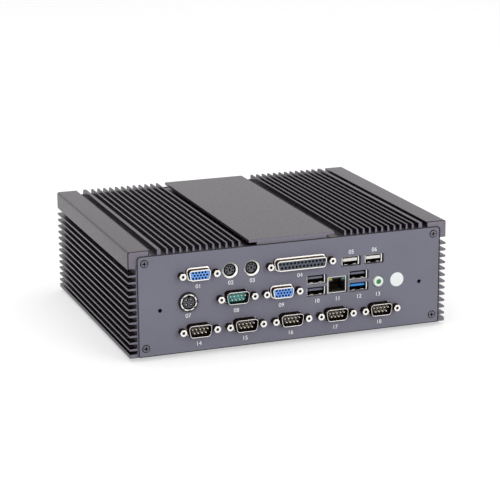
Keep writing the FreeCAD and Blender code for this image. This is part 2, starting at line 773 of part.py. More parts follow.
def dsub_insert(port):
    """Moulded insulator: a D-shaped face in the shell and a block that stands on the board."""
    x, z = port["x"], port["z"]
    face = PLUG_FACE if port["kind"] == "plug" else DSUB_RIM + SOCKET_FACE_RECESS
    core = prism(dsub_bore(port, DSUB_INSERT_CLEARANCE), face, FLANGE_BACK)
    width = port["spacing"] - DSUB_BODY_MARGIN
    bottom = z - DSUB_AXIS_ABOVE_BOARD
    body = block(x, width, FLANGE_BACK, FLANGE_BACK + DSUB_BODY_DEPTH, bottom, z + port["height"] / 2)
    insert = core.fuse(body)
    if port["kind"] == "plug":
        return insert
    holes = []
    for u, v in contact_places(port):
        hole = rectangle(u, v, CONTACT_HOLE_SIZE, CONTACT_HOLE_SIZE)
        holes.append(prism(hole, face, face + CONTACT_HOLE_DEPTH))
    return insert.cut(holes)


def contact_places(port):
    """Centres of the contacts: two staggered rows, or three rows in the dense pattern."""
    x, z = port["x"], port["z"]
    if port["kind"] == "dense":
        rows = [(5, DENSE_ROW_PITCH, -0.25), (5, 0.0, 0.25), (5, -DENSE_ROW_PITCH, -0.25)]
        pitch = DENSE_PITCH
    else:
        longest = 5 if port["kind"] == "plug" else 13
        half_row = CONTACT_ROW_PITCH / 2
        rows = [(longest, half_row, 0.0), (longest - 1, -half_row, 0.0)]
        pitch = CONTACT_PITCH
    places = []
    for count, rise, shift in rows:
        first = x + pitch * (shift - (count - 1) / 2)
        places += [(first + pitch * i, z + rise) for i in range(count)]
    return places


def contact_pin(x, z):
    """Slim pin standing on the insulator of a plug."""
    return prism(rectangle(x, z, PIN_SIZE, PIN_SIZE), DSUB_RIM + PIN_RECESS, PLUG_FACE)


def jackscrew(x, z):
    """Hexagonal screw lock with a tapped bore in its head."""
    head = hex_rod(x, z, JACKSCREW_SIZE, IO_FACE - JACKSCREW_HEAD, IO_FACE)
    shank = hex_rod(x, z, JACKSCREW_SHANK, IO_FACE, IO_BACK)
    mouth = IO_FACE - JACKSCREW_HEAD
    return head.fuse(shank).cut(rod(x, z, JACKSCREW_BORE_RADIUS, mouth, mouth + JACKSCREW_BORE_DEPTH))


def tube(x, z, outer, inner, y0, y1):
    return rod(x, z, outer, y0, y1).cut(rod(x, z, inner, y0, y1))


def mini_din_shield(x):
    z = UPPER_TOP + MINI_DIN_AXIS_ABOVE_BOARD
    inner = MINI_DIN_RADIUS - MINI_DIN_WALL
    return tube(x, z, MINI_DIN_RADIUS, inner, IO_FACE + MINI_DIN_RECESS, FLANGE_BACK)


def mini_din_insert(x):
    """Round core with six contact holes and a key slot, on a block that stands on the board."""
    z = UPPER_TOP + MINI_DIN_AXIS_ABOVE_BOARD
    width, height, depth = MINI_DIN_BODY
    bottom = UPPER_TOP
    face = IO_FACE + MINI_DIN_RECESS + MINI_DIN_CORE_RECESS
    body = block(x, width, FLANGE_BACK, FLANGE_BACK + depth, bottom, bottom + height)
    core = rod(x, z, MINI_DIN_CORE_RADIUS, face, FLANGE_BACK)
    cutters = []
    for angle in MINI_DIN_CONTACT_ANGLES:
        u = x + MINI_DIN_CONTACT_CIRCLE * math.cos(math.radians(angle))
        v = z + MINI_DIN_CONTACT_CIRCLE * math.sin(math.radians(angle))
        cutters.append(hex_rod(u, v, CONTACT_HOLE_SIZE, face, FLANGE_BACK))
    key_width, key_height = MINI_DIN_KEY
    cutters.append(block(x, key_width, face, FLANGE_BACK, z - key_height / 2, z + key_height / 2))
    return body.fuse(core.cut(cutters))


def power_inlet_housing():
    """Black moulding: a round barrel, a core with four contact holes and a block on the board."""
    x = POWER_INLET_X
    z = MAIN_TOP + INLET_AXIS_ABOVE_BOARD
    width, height, depth = INLET_BODY
    body = block(x, width, FLANGE_BACK, FLANGE_BACK + depth, MAIN_TOP, MAIN_TOP + height)
    barrel = tube(x, z, INLET_RADIUS, INLET_RADIUS - INLET_WALL, IO_FACE - INLET_OUT, FLANGE_BACK)
    face = IO_FACE - INLET_OUT + INLET_CORE_RECESS
    core = rod(x, z, INLET_CORE_RADIUS, face, FLANGE_BACK)
    half = INLET_CONTACT_SPACING / 2
    cutters = []
    for i in (-1, 1):
        for k in (-1, 1):
            cutters.append(hex_rod(x + i * half, z + k * half, INLET_CONTACT_SIZE, face, FLANGE_BACK))
    key = INLET_CONTACT_SIZE / 2
    key_top = z + INLET_CORE_RADIUS
    cutters.append(block(x, 2 * key, face, FLANGE_BACK, key_top - key, key_top))
    return body.fuse([barrel, core.cut(cutters)])


def power_inlet_shield():
    z = MAIN_TOP + INLET_AXIS_ABOVE_BOARD
    outer = INLET_RADIUS - INLET_WALL - SCREW_CLEARANCE
    start = IO_FACE - INLET_OUT + INLET_SHIELD_RECESS
    return tube(POWER_INLET_X, z, outer, outer - INLET_SHIELD_WALL, start, FLANGE_BACK)


def usb_single_shell(x):
    """Folded metal tube round one flat socket."""
    width, height, depth = USB_SINGLE
    z = UPPER_TOP + height / 2
    start = IO_FACE + USB_RECESS
    outer = prism(rectangle(x, z, width, height), start, start + depth)
    inner = rectangle(x, z, width - 2 * USB_WALL, height - 2 * USB_WALL)
    return outer.cut(prism(inner, start, start + depth))


def usb_tongue(x, z, start, back):
    """Flat contact tongue, in the upper half of its mouth."""
    width, thickness = USB_TONGUE
    low = z + USB_TONGUE_RISE - thickness / 2
    return block(x, width, start + USB_TONGUE_RECESS, back, low, low + thickness)


def usb_single_insert(x):
    width, height, depth = USB_SINGLE
    z = UPPER_TOP + height / 2
    start = IO_FACE + USB_RECESS
    back = start + depth
    inset = 2 * (USB_WALL + USB_INSERT_CLEARANCE)
    rear = prism(rectangle(x, z, width - inset, height - inset), back - USB_REAR_BLOCK, back)
    return rear.fuse(usb_tongue(x, z, start, back - USB_REAR_BLOCK))


def usb_stack_mouths():
    """Heights of the lower and the upper mouth of a stacked socket."""
    z = MAIN_TOP + USB_STACK[1] / 2
    return [z - USB_STACK_PITCH / 2, z + USB_STACK_PITCH / 2]


def usb_stack_shell(x):
    """Folded metal box behind the panel, with two mouths joined into one space behind the divider."""
    width, height, depth = USB_STACK
    z = MAIN_TOP + height / 2
    start = IO_BACK
    back = start + depth
    outer = prism(rectangle(x, z, width, height), start, back)
    cutters = [prism(rectangle(x, mouth, *USB_MOUTH), start, back) for mouth in usb_stack_mouths()]
    cutters.append(prism(rectangle(x, z, USB_MOUTH[0], USB_STACK_PITCH), back - USB_REAR_BLOCK, back))
    divider = USB_STACK_PITCH - USB_MOUTH[1] - 2 * USB_WALL
    cutters.append(prism(rectangle(x, z, USB_MOUTH[0], divider), start + USB_WALL, back))
    return outer.cut(cutters)


def usb_stack_insert(x, mouths):
    """Tongues of the given mouths on a block that closes the back of the shell."""
    start = IO_BACK
    back = start + USB_STACK[2]
    face = back - USB_REAR_BLOCK + USB_INSERT_CLEARANCE
    half = USB_MOUTH[0] / 2 - USB_INSERT_CLEARANCE
    rise = USB_MOUTH[1] / 2 - USB_INSERT_CLEARANCE
    middle = MAIN_TOP + USB_STACK[1] / 2
    both = len(mouths) > 1
    low = min(mouths) - rise if both or mouths[0] < middle else middle
    high = max(mouths) + rise if both or mouths[0] > middle else middle
    rear = box(x - half, x + half, face, back, low, high)
    return rear.fuse([usb_tongue(x, mouth, start, face) for mouth in mouths])


def lan_shell():
    """Metal screen round the network socket."""
    width, height, depth = LAN_SIZE
    z = MAIN_TOP + height / 2
    start = IO_FACE + USB_RECESS
    outer = prism(rectangle(LAN_X, z, width, height), start, start + depth)
    inner = rectangle(LAN_X, z, width - 2 * LAN_WALL, height - 2 * LAN_WALL)
    return outer.cut(prism(inner, start, start + depth))


def lan_led_places():
    """Low corners of the two lamps, beside the latch at the top of the socket."""
    width, height, _ = LAN_SIZE
    clear = LAN_WALL + USB_INSERT_CLEARANCE
    low = MAIN_TOP + height - clear - LAN_LED[1]
    left = LAN_X - width / 2 + clear
    right = LAN_X + width / 2 - clear - LAN_LED[0]
    return [(left, low), (right, low)]


def lan_led(x, z):
    start = IO_FACE + USB_RECESS
    width, height, depth = LAN_LED
    return box(x, x + width, start, start + depth, z, z + height)


def lan_insert():
    """Moulded socket with a plug space, a latch notch above it and pockets for the lamps."""
    width, height, depth = LAN_SIZE
    inset = 2 * (LAN_WALL + USB_INSERT_CLEARANCE)
    z = MAIN_TOP + height / 2
    start = IO_FACE + USB_RECESS
    body = prism(rectangle(LAN_X, z, width - inset, height - inset), start, start + depth)
    plug_width, plug_height, plug_depth = LAN_PLUG
    floor = MAIN_TOP + LAN_WALL + LAN_PLUG_RISE
    latch_width, latch_height = LAN_LATCH
    top = floor + plug_height
    plug = block(LAN_X, plug_width, start, start + plug_depth, floor, top)
    latch = block(LAN_X, latch_width, start, start + plug_depth, top, top + latch_height)
    return body.cut([plug, latch] + [lan_led(*place) for place in lan_led_places()])


def audio_jack():
    """Round audio socket in one moulding, standing on the board."""
    z = MAIN_TOP + AUDIO_AXIS_ABOVE_BOARD
    width, height, depth = AUDIO_BODY
    mouth = IO_FACE - AUDIO_OUT
    sleeve = rod(AUDIO_X, z, AUDIO_RADIUS, mouth, FLANGE_BACK)
    body = block(AUDIO_X, width, FLANGE_BACK, FLANGE_BACK + depth, MAIN_TOP, MAIN_TOP + height)
    return sleeve.fuse(body).cut(bore(AUDIO_X, z, AUDIO_BORE_RADIUS, mouth, mouth + AUDIO_BORE_DEPTH))


def power_button_body():
    """Bezel and threaded barrel in one piece, with the well that the cap slides in."""
    z = BASE + BUTTON_HEIGHT_ABOVE_BASE
    face = FRONT_FACE + BEZEL_OUT
    well = face + BUTTON_CAP_OUT - BUTTON_CAP_LENGTH - BUTTON_TRAVEL - BUTTON_SPARE
    bezel = rod(BUTTON_X, z, BARREL_RADIUS + BEZEL_LIP, FRONT_FACE, face)
    barrel = rod(BUTTON_X, z, BARREL_RADIUS, FRONT_FACE - BARREL_LENGTH, FRONT_FACE)
    return bezel.fuse(barrel).cut(bore(BUTTON_X, z, BUTTON_CAP_RADIUS + BUTTON_GAP, well, face))


def power_button_cap():
    """Sliding cap with a shallow dish for the fingertip."""
    z = BASE + BUTTON_HEIGHT_ABOVE_BASE
    top = FRONT_FACE + BEZEL_OUT + BUTTON_CAP_OUT
    cap = bore(BUTTON_X, z, BUTTON_CAP_RADIUS, top - BUTTON_CAP_LENGTH, top)
    radius = (BUTTON_CAP_RADIUS ** 2 + BUTTON_CAP_DISH ** 2) / (2 * BUTTON_CAP_DISH)
    dish = Part.makeSphere(radius, Vector(BUTTON_X, top + radius - BUTTON_CAP_DISH, z))
    return cap.cut(dish)


def power_button_nut():
    z = BASE + BUTTON_HEIGHT_ABOVE_BASE
    back = FRONT_BACK - NUT_THICKNESS
    hole = rod(BUTTON_X, z, BARREL_RADIUS + NUT_CLEARANCE, back, FRONT_BACK)
    size = 2 * (BARREL_RADIUS + NUT_WALL)
    return hex_rod(BUTTON_X, z, size, back, FRONT_BACK).cut(hole)


def front_led(x):
    """Lamp lens through the front panel."""
    z = BASE + BUTTON_HEIGHT_ABOVE_BASE
    return rod(x, z, LED_RADIUS, FRONT_BACK - LED_LENGTH, FRONT_FACE + LED_OUT)


def main_board_hole_places():
    return [(u - MAIN_BOARD_SIZE / 2, MAIN_BOARD_Y + v) for u, v in MAIN_BOARD_HOLES]


def header(x0, x1, y, z):
    """Cable header that stands on a board."""
    return box(x0, x1, y - HEADER_WIDTH / 2, y + HEADER_WIDTH / 2, z, z + HEADER_HEIGHT)


def side_header(x, z):
    """Cable header that stands along the side of a board, near the lower ports."""
    y1 = IO_BOARD_Y + LOWER_BOARD_DEPTH
    return block(x, HEADER_WIDTH, y1 - SIDE_RIBBON_LENGTH, y1, z, z + HEADER_HEIGHT)


def motherboard():
    """Main board with the parts soldered to it: headers, memory socket, cell holder and coils."""
    half = MAIN_BOARD_SIZE / 2
    bottom = MAIN_TOP - BOARD_THICKNESS
    board = box(-half, half, MAIN_BOARD_Y, MAIN_BOARD_Y + MAIN_BOARD_SIZE, bottom, MAIN_TOP)
    socket_x = MEMORY_X - SOCKET_WIDTH
    parts = [
        header(*UPPER_RIBBON_X, upper_ribbon_y(), MAIN_TOP),
        header(*DRIVE_CABLE_X, drive_cable_y(), MAIN_TOP),
        side_header(half - HEADER_WIDTH, MAIN_TOP),
        box(
            socket_x,
            MEMORY_X,
            MEMORY_Y - SOCKET_LENGTH / 2,
            MEMORY_Y + SOCKET_LENGTH / 2,
            MAIN_TOP,
            MAIN_TOP + SOCKET_HEIGHT_ABOVE_BOARD,
        ),
        cell_holder(),
    ]
    width, height = COIL_SIZE
    for i in range(COIL_COUNT):
        x = COIL_PLACE[0] + COIL_PITCH * i
        y = COIL_PLACE[1]
        parts.append(box(x, x + width, y, y + width, MAIN_TOP, MAIN_TOP + height))
    board = board.fuse(parts).removeSplitter()
    hole = BOARD_SCREW_SHANK + 2 * SCREW_CLEARANCE
    holes = [hex_post(x, y, hole, bottom, MAIN_TOP) for x, y in main_board_hole_places()]
    return board.cut(holes)


def cell_holder():
    x, y = CELL_PLACE
    width, depth, height = CELL_HOLDER
    return box(x - width / 2, x + width / 2, y - depth / 2, y + depth / 2, MAIN_TOP, MAIN_TOP + height)


def coin_cell():
    x, y = CELL_PLACE
    bottom = MAIN_TOP + CELL_HOLDER[2]
    return post(x, y, CELL_RADIUS, bottom, bottom + CELL_THICKNESS)


def upper_io_board():
    """Board behind the upper row of ports, with its cable header."""
    x0, x1 = UPPER_BOARD_X
    y1 = IO_BOARD_Y + UPPER_BOARD_DEPTH
    board = box(x0, x1, IO_BOARD_Y + DSUB_FLANGE_THICKNESS, y1, UPPER_TOP - BOARD_THICKNESS, UPPER_TOP)
    plug = header(*UPPER_RIBBON_X, y1 - HEADER_WIDTH, UPPER_TOP)
    return board.fuse(plug).removeSplitter()


def lower_io_board():
    """Board behind the lower row of ports, with room for a standoff of the main board."""
    x0, x1 = LOWER_BOARD_X
    y1 = IO_BOARD_Y + LOWER_BOARD_DEPTH
    bottom = LOWER_TOP - BOARD_THICKNESS
    board = box(x0, x1, IO_BOARD_Y + DSUB_FLANGE_THICKNESS, y1, bottom, LOWER_TOP)
    plug = side_header(x1 - HEADER_WIDTH, LOWER_TOP)
    hole = STANDOFF_SIZE + 2 * STANDOFF_HOLE_CLEARANCE
    holes = [hex_post(x, y, hole, bottom, LOWER_TOP) for x, y in main_board_hole_places() if y < y1]
    return board.fuse(plug).removeSplitter().cut(holes)


def board_standoffs():
    """Hexagonal posts under the main board, under the lower board and under the upper board."""
    solids = []
    for x, y in main_board_hole_places():
        solids.append(hex_post(x, y, STANDOFF_SIZE, BASE_TOP, MAIN_TOP - BOARD_THICKNESS))
    lower_y = IO_BOARD_Y + LOWER_BOARD_DEPTH - STANDOFF_INSET
    for x in LOWER_STANDOFF_X:
        solids.append(hex_post(x, lower_y, STANDOFF_SIZE, BASE_TOP, LOWER_TOP - BOARD_THICKNESS))
    upper_y = IO_BOARD_Y + UPPER_BOARD_DEPTH - STANDOFF_INSET
    for x in UPPER_STANDOFF_X:
        solids.append(hex_post(x, upper_y, STANDOFF_SIZE, MAIN_TOP, UPPER_TOP - BOARD_THICKNESS))
    return Part.makeCompound(solids)


def board_screws():
    """Hex-headed screws through the main board onto its four posts."""
    solids = []
    for x, y in main_board_hole_places():
        head = hex_post(x, y, BOARD_SCREW_HEAD, MAIN_TOP, MAIN_TOP + BOARD_SCREW_HEAD_HEIGHT)
        shank = hex_post(x, y, BOARD_SCREW_SHANK, MAIN_TOP - BOARD_THICKNESS, MAIN_TOP)
        solids.append(head.fuse(shank))
    return Part.makeCompound(solids)


def upper_ribbon_y():
    """Where the upper cable lands on the main board, behind the upper board."""
    return IO_BOARD_Y + UPPER_BOARD_DEPTH + 4 * RIBBON_BEND


def drive_cable_y():
    return MAIN_BOARD_Y + MAIN_BOARD_SIZE - 2 * HEADER_WIDTH


def processor():
    width, depth, height = PROCESSOR
    y = (IO_BACK + FRONT_BACK) / 2
    return block(0.0, width, y - depth / 2, y + depth / 2, MAIN_TOP, MAIN_TOP + height)


def thermal_pad():
    width, depth, height = PROCESSOR
    y = (IO_BACK + FRONT_BACK) / 2
    bottom = MAIN_TOP + height
    return block(0.0, width, y - depth / 2, y + depth / 2, bottom, bottom + THERMAL_PAD_THICKNESS)


def heat_block():
    """Aluminium block that carries heat from the processor up to the top extrusion."""
    y = (IO_BACK + FRONT_BACK) / 2
    bottom = MAIN_TOP + PROCESSOR[2] + THERMAL_PAD_THICKNESS
    shoulder = PLATE_UNDERSIDE - HEAT_BLOCK_HEAD_HEIGHT
    stem_half = HEAT_BLOCK_STEM / 2
    head_half = HEAT_BLOCK_HEAD / 2
    corners = [
        (-stem_half, bottom, 0.0),
        (stem_half, bottom, 0.0),
        (stem_half, shoulder, 0.0),
        (head_half, shoulder, 0.0),
        (head_half, PLATE_UNDERSIDE, 0.0),
        (-head_half, PLATE_UNDERSIDE, 0.0),
        (-head_half, shoulder, 0.0),
        (-stem_half, shoulder, 0.0),
    ]
    return prism(corners, y - stem_half, y + stem_half)


def memory_module():
    """Memory board lying in its socket, with four chips on its upper face."""
    width, length, thickness = MEMORY_SIZE
    z = MAIN_TOP + MEMORY_LIFT
    board = box(MEMORY_X, MEMORY_X + width, MEMORY_Y - length / 2, MEMORY_Y + length / 2, z, z + thickness)
    chip_width, chip_length, chip_height = MEMORY_CHIP
    chip_bottom = z + thickness
    chips = []
    for i in range(4):
        y = MEMORY_Y + (i - 1.5) * length / 4 - chip_length / 2
        x = MEMORY_X + (width - chip_width) / 2
        chips.append(box(x, x + chip_width, y, y + chip_length, chip_bottom, chip_bottom + chip_height))
    return board.fuse(chips).removeSplitter()


def solid_state_drive():
    """Flat drive lying on the base plate."""
    width, length, height = DRIVE_SIZE
    start = DRIVE_Y - length / 2
    return block(0.0, width, start, start + length, BASE_TOP, BASE_TOP + height)


def ribbon_cables():
    """Flat cables from the two port boards to the main board."""
    upper_y = IO_BOARD_Y + UPPER_BOARD_DEPTH - HEADER_WIDTH
    crest = UPPER_TOP + HEADER_HEIGHT + 2 * RIBBON_BEND
    upper = [
        (upper_y, UPPER_TOP + HEADER_HEIGHT),
        (upper_y, crest),
        (upper_ribbon_y(), crest),
        (upper_ribbon_y(), MAIN_TOP + HEADER_HEIGHT),
    ]
    x0, x1 = UPPER_RIBBON_X
    lower_x = LOWER_BOARD_X[1] - HEADER_WIDTH
    main_x = MAIN_BOARD_SIZE / 2 - HEADER_WIDTH
    outside = MAIN_BOARD_SIZE / 2 + SIDE_RIBBON_REACH
    lower = [
        (lower_x, LOWER_TOP + HEADER_HEIGHT),
        (lower_x, LOWER_TOP + HEADER_HEIGHT + 2 * RIBBON_BEND),
        (outside, LOWER_TOP + HEADER_HEIGHT + 2 * RIBBON_BEND),
        (outside, MAIN_TOP + HEADER_HEIGHT + 2 * RIBBON_BEND),
        (main_x, MAIN_TOP + HEADER_HEIGHT + 2 * RIBBON_BEND),
        (main_x, MAIN_TOP + HEADER_HEIGHT),
    ]
    start = IO_BOARD_Y + LOWER_BOARD_DEPTH - SIDE_RIBBON_LENGTH
    return Part.makeCompound([
        band(upper, along(x0), Vector(x1 - x0, 0, 0)),
        band(lower, across(start), Vector(0, SIDE_RIBBON_LENGTH, 0)),
    ])


def drive_cable():
    """Flat cable from the drive, round the front edge of the main board, to its header."""
    start = DRIVE_Y + DRIVE_SIZE[1] / 2
    edge = MAIN_BOARD_Y + MAIN_BOARD_SIZE + 2 * RIBBON_BEND
    low = BASE_TOP + DRIVE_SIZE[2] / 2
    high = MAIN_TOP + HEADER_HEIGHT + 2 * RIBBON_BEND
    points = [
        (start, low),
        (edge, low),
        (edge, high),
        (drive_cable_y(), high),
        (drive_cable_y(), MAIN_TOP + HEADER_HEIGHT),
    ]
    x0, x1 = DRIVE_CABLE_X
    return band(points, along(x0), Vector(x1 - x0, 0, 0))


def build():
    """Every piece by its name."""
    ports = dsub_ports()
    serial = [port for port in ports if port["kind"] == "plug"]
    pins = [contact_pin(x, z) for port in serial for x, z in contact_places(port)]
    pieces = {
        "top_heatsink": top_heatsink(),
        "left_heatsink": side_heatsink(-1),
        "right_heatsink": side_heatsink(1),
        "base_plate": base_plate(),
        "io_panel": io_panel(),
        "front_panel": front_panel(),
        "panel_screws": panel_screws(),
        "base_screws": base_screws(),
        "rubber_feet": rubber_feet(),
        "inspection_sticker": inspection_sticker(),
        "power_button_body": power_button_body(),
        "power_button_cap": power_button_cap(),
        "power_button_nut": power_button_nut(),
        "power_led": front_led(LED_X[0]),
        "drive_led": front_led(LED_X[1]),
        "serial_port_shells": Part.makeCompound([dsub_shell(port) for port in serial]),
        "serial_port_1_insert": dsub_insert(serial[0]),
        "serial_port_inserts": Part.makeCompound([dsub_insert(port) for port in serial[1:]]),
        "serial_pins": Part.makeCompound(pins),
        "jackscrews": Part.makeCompound([jackscrew(x, z) for x, z in jackscrew_places()]),
        "keyboard_port_shield": mini_din_shield(KEYBOARD_X),
        "keyboard_port_insert": mini_din_insert(KEYBOARD_X),
        "mouse_port_shield": mini_din_shield(MOUSE_X),
        "mouse_port_insert": mini_din_insert(MOUSE_X),
        "power_inlet_housing": power_inlet_housing(),
        "power_inlet_shield": power_inlet_shield(),
        "lan_shell": lan_shell(),
        "lan_insert": lan_insert(),
        "lan_led_left": lan_led(*lan_led_places()[0]),
        "lan_led_right": lan_led(*lan_led_places()[1]),
        "audio_jack": audio_jack(),
        "motherboard": motherboard(),
        "upper_io_board": upper_io_board(),
        "lower_io_board": lower_io_board(),
        "board_standoffs": board_standoffs(),
        "board_screws": board_screws(),
        "processor": processor(),
        "thermal_pad": thermal_pad(),
        "heat_block": heat_block(),
        "memory_module": memory_module(),
        "coin_cell": coin_cell(),
        "solid_state_drive": solid_state_drive(),
        "ribbon_cables": ribbon_cables(),
        "drive_cable": drive_cable(),
    }
    for port in ports:
        if port["kind"] != "plug":
            pieces[port["name"] + "_shell"] = dsub_shell(port)
            pieces[port["name"] + "_insert"] = dsub_insert(port)
    for i, x in enumerate(USB_SINGLE_X):
        pieces[f"usb_single_{i + 1}_shell"] = usb_single_shell(x)
        pieces[f"usb_single_{i + 1}_insert"] = usb_single_insert(x)
    left, right = USB_STACK_X
    pieces["usb_stack_1_shell"] = usb_stack_shell(left)
    pieces["usb_stack_1_insert"] = usb_stack_insert(left, usb_stack_mouths())
    pieces["usb_stack_2_shell"] = usb_stack_shell(right)
    pieces["usb_stack_2_upper_insert"] = usb_stack_insert(right, usb_stack_mouths()[1:])
    pieces["usb_stack_2_lower_insert"] = usb_stack_insert(right, usb_stack_mouths()[:1])
    return pieces


os.makedirs("parts", exist_ok=True)
for name, shape in build().items():
    shape.exportStep(f"parts/{name}.step")
    print(f"{name}: {len(shape.Solids)} solids, {shape.Volume:.1f} mm3, valid {shape.isValid()}")
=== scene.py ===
"""Looks of a fanless box computer: fine meshes, print and materials on the frame of its CAD part.

Mesh code works in millimetres in the frame of the CAD part, and add_piece() turns a mesh into metres.
An outline is a closed list of 2-D points that runs anticlockwise as seen from the front.
"""

import json
from math import acos, copysign, cos, inf, pi, radians, sin, sqrt, tan
from types import SimpleNamespace

import bmesh
import bpy
from mathutils import Matrix, Vector


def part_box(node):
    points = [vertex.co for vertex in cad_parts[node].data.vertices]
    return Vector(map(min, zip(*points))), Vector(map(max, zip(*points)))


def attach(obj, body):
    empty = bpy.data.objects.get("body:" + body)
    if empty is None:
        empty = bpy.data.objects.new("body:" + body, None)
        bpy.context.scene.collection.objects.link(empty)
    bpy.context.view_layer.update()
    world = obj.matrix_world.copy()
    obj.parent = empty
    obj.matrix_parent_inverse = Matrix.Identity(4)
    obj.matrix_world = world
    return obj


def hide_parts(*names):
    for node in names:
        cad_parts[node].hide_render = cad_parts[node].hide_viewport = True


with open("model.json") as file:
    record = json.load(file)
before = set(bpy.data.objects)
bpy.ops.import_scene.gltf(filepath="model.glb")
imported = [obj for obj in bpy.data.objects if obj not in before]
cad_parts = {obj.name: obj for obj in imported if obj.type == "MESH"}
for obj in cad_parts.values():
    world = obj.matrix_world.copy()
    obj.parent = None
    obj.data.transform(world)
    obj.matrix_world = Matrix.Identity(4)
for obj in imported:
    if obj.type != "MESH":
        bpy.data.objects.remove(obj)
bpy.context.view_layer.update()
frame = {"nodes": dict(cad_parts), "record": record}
SLOT_OF = {part["node"]: part["material_slot"] for part in frame["record"]["subparts"]}
MM = 0.001
HOUSING = "housing"
BUTTON = "power_button"

# Camera of the photograph
CAMERA_PLACE = (-452.7, -1235.8, 404.0)
CAMERA_AZIMUTH = radians(20.27)
CAMERA_ELEVATION = radians(15.28)
CAMERA_ROLL = radians(-0.40)
FOCAL_PIXELS = 1799.0
IMAGE_PIXELS = 500.0
SENSOR_WIDTH = 36.0

# Stage and light
WHITE = (1.0, 1.0, 1.0, 1.0)
FLOOR_SIZE = 14.0
FLOOR_LEVEL = -0.0002
FLOOR_WHITE = 0.6
FLOOR_ROUGHNESS = 0.9
FLOOR_GLOW = 0.5
WORLD_FILL = 0.7
LAMPS = {
    "overhead": {"place": (0.1, 0.1, 1.7), "size": 1.8, "power": 9.0},
    "front left": {"place": (-1.2, -1.8, 0.9), "size": 1.2, "power": 5.0},
    "front right": {"place": (1.1, -1.9, 1.0), "size": 1.2, "power": 11.0},
}

# How finely meshes are drawn; a round's middle lies that share of its radius inside the corner
SMOOTH_ANGLE = radians(50.0)
ROUND_MIDDLE = 0.293
EDGE_PROFILE = ((1.0, 0.0), (ROUND_MIDDLE, ROUND_MIDDLE), (0.0, 1.0))
CORNER_STEPS = 6
ROUND_SIDES = 48
SMALL_SIDES = 16
MERGE_DISTANCE = 0.001
FLAT_TURN = radians(0.5)

# Softened edges
EXTRUSION_EDGE = 0.15
EXTRUSION_CORNER = 0.18
EXTRUSION_STEPS = 2
SMALL_SIDE = 0.45
BLOCK_EDGE = 0.8
BLOCK_WIDTH = 15.55
PANEL_EDGE = 0.15
SHEET_EDGE = 0.1
MOULDED_EDGE = 0.25

# Kinds of D-shaped port; a contact row gives the count, the rise and the shift in pitches
PLUG = {"size": (17.7, 8.9), "wall": 0.5, "radius": 2.6, "rows": ()}
SOCKET = {"wall": 0.85, "radius": 2.0}
SMALL_SOCKET = SOCKET | {
    "size": (16.5, 7.7),
    "rows": ((5, 1.98, -0.25), (5, 0.0, 0.25), (5, -1.98, -0.25)),
    "pitch": 2.29,
    "contact": 0.78,
    "look": None,
}
LARGE_SOCKET = SOCKET | {
    "size": (38.4, 7.7),
    "rows": ((13, 1.42, 0.0), (12, -1.42, 0.0)),
    "pitch": 2.77,
    "contact": 0.92,
    "look": "slate_plastic",
}

# D-shaped shells, insulators and pins; the nose of a pin is in (radius, depth) points
D_SLOPE = radians(10.0)
D_FLANGE_EXTRA = 5.9
D_FLANGE_RADIUS = 0.8
D_FOOT_ROUND = 0.4
D_STEP = 1.05
D_STEP_OUT = 0.15
D_RIM_ROUND = 0.15
D_CUTOUT_LESS = 4.9
D_CUTOUT_HEIGHT = 10.0
D_CUTOUT_RADIUS = 3.2
D_INSERT_GAP = 0.05
D_BODY_MARGIN = 5.0
CONTACT_RECESS = 0.15
PIN_RADIUS = 0.56
PIN_NOSE = ((0.0, 0.0), (0.336, 0.12), (0.56, 0.6))

# Screw locks
HEX_SIDE_POINTS = 4
JACKSCREW_SIZE = 4.8
JACKSCREW_CHAMFER = 0.25
JACKSCREW_FACE = 2.36
JACKSCREW_MOUTH = 1.25
JACKSCREW_BORE = 1.1
JACKSCREW_BORE_DEPTH = 3.2
JACKSCREW_HOLE = 1.4
THREAD_DEPTH = 0.18
THREAD_PITCH = 0.64
THREAD_ROOT = 0.25
THREAD_CREST = 0.75

# Screws
SCREW_HEAD = 2.75
SCREW_SHANK = 1.5
SCREW_HEAD_EDGE = 0.45
COUNTERSINK = 3.05
COUNTERSINK_FAR = 1.6
CROSS_REACH = 1.55
CROSS_HALF_WIDTH = 0.42
CROSS_DEPTH = 1.5
CROSS_TAPER = 0.2

# Panels, black seals of painted shade round them, and base
PANEL_TOP_RADIUS = 2.2
PANEL_BOTTOM_RADIUS = 0.6
PLAIN_HOLE_X = 98.9
PLAIN_HOLE_RISE = 33.0
PLAIN_HOLE_RADIUS = 1.5
PORT_GAP = 0.2
# The black seal round each panel is painted shade for the shadow gap at its edge; it shows furthest on the
# right and bottom
SHADE_SEAL_REACH = {"left": 0.15, "right": 1.1, "top": 0.3, "bottom": 0.7}
SHADE_SEAL_THICKNESS = 1.5
SHADE_SEAL_EDGE = 0.05
BOLT_SPACING = 100.0
BOLT_RADIUS = 1.65

# Round sockets; each notch of the inlet's shield has a number of sides, and some of them are cut
# Near-black liners of painted shade inside the round shields
SHADE_LINER_WALL = 0.15
SHADE_LINER_EDGE = 0.05
MINI_DIN_LIP = 1.3
MINI_DIN_LIP_DEPTH = 0.9
MINI_DIN_CORE = 3.4
MINI_DIN_CORE_RECESS = 1.2
MINI_DIN_WELL = 4.0
MINI_DIN_CONTACT = 0.66
MINI_DIN_CONTACT_CIRCLE = 2.45
MINI_DIN_CONTACT_ANGLES = (20.0, 70.0, 110.0, 160.0, 215.0, 325.0)
MINI_DIN_KEY = (1.2, 2.2)
INLET_RADIUS = 6.8
INLET_WALL = 0.75
INLET_SHIELD_WALL = 0.85
INLET_NOTCHES = 8
INLET_NOTCH_DEPTH = 0.7
SIDES_PER_NOTCH = 8
SIDES_CUT = 2
INLET_CORE = 4.2
INLET_CORE_RECESS = 0.7
INLET_CONTACT = 1.05
INLET_PIN = 0.6
INLET_PIN_RECESS = 0.1
INLET_CONTACT_SPACING = 3.4
INLET_KEY = (1.6, 1.2)
AUDIO_RADIUS = 3.8
AUDIO_GAP = 0.5
AUDIO_BORE = 1.75
AUDIO_BORE_DEPTH = 2.5
AUDIO_LINER = 0.15
AUDIO_AXIS_RISE = 5.7
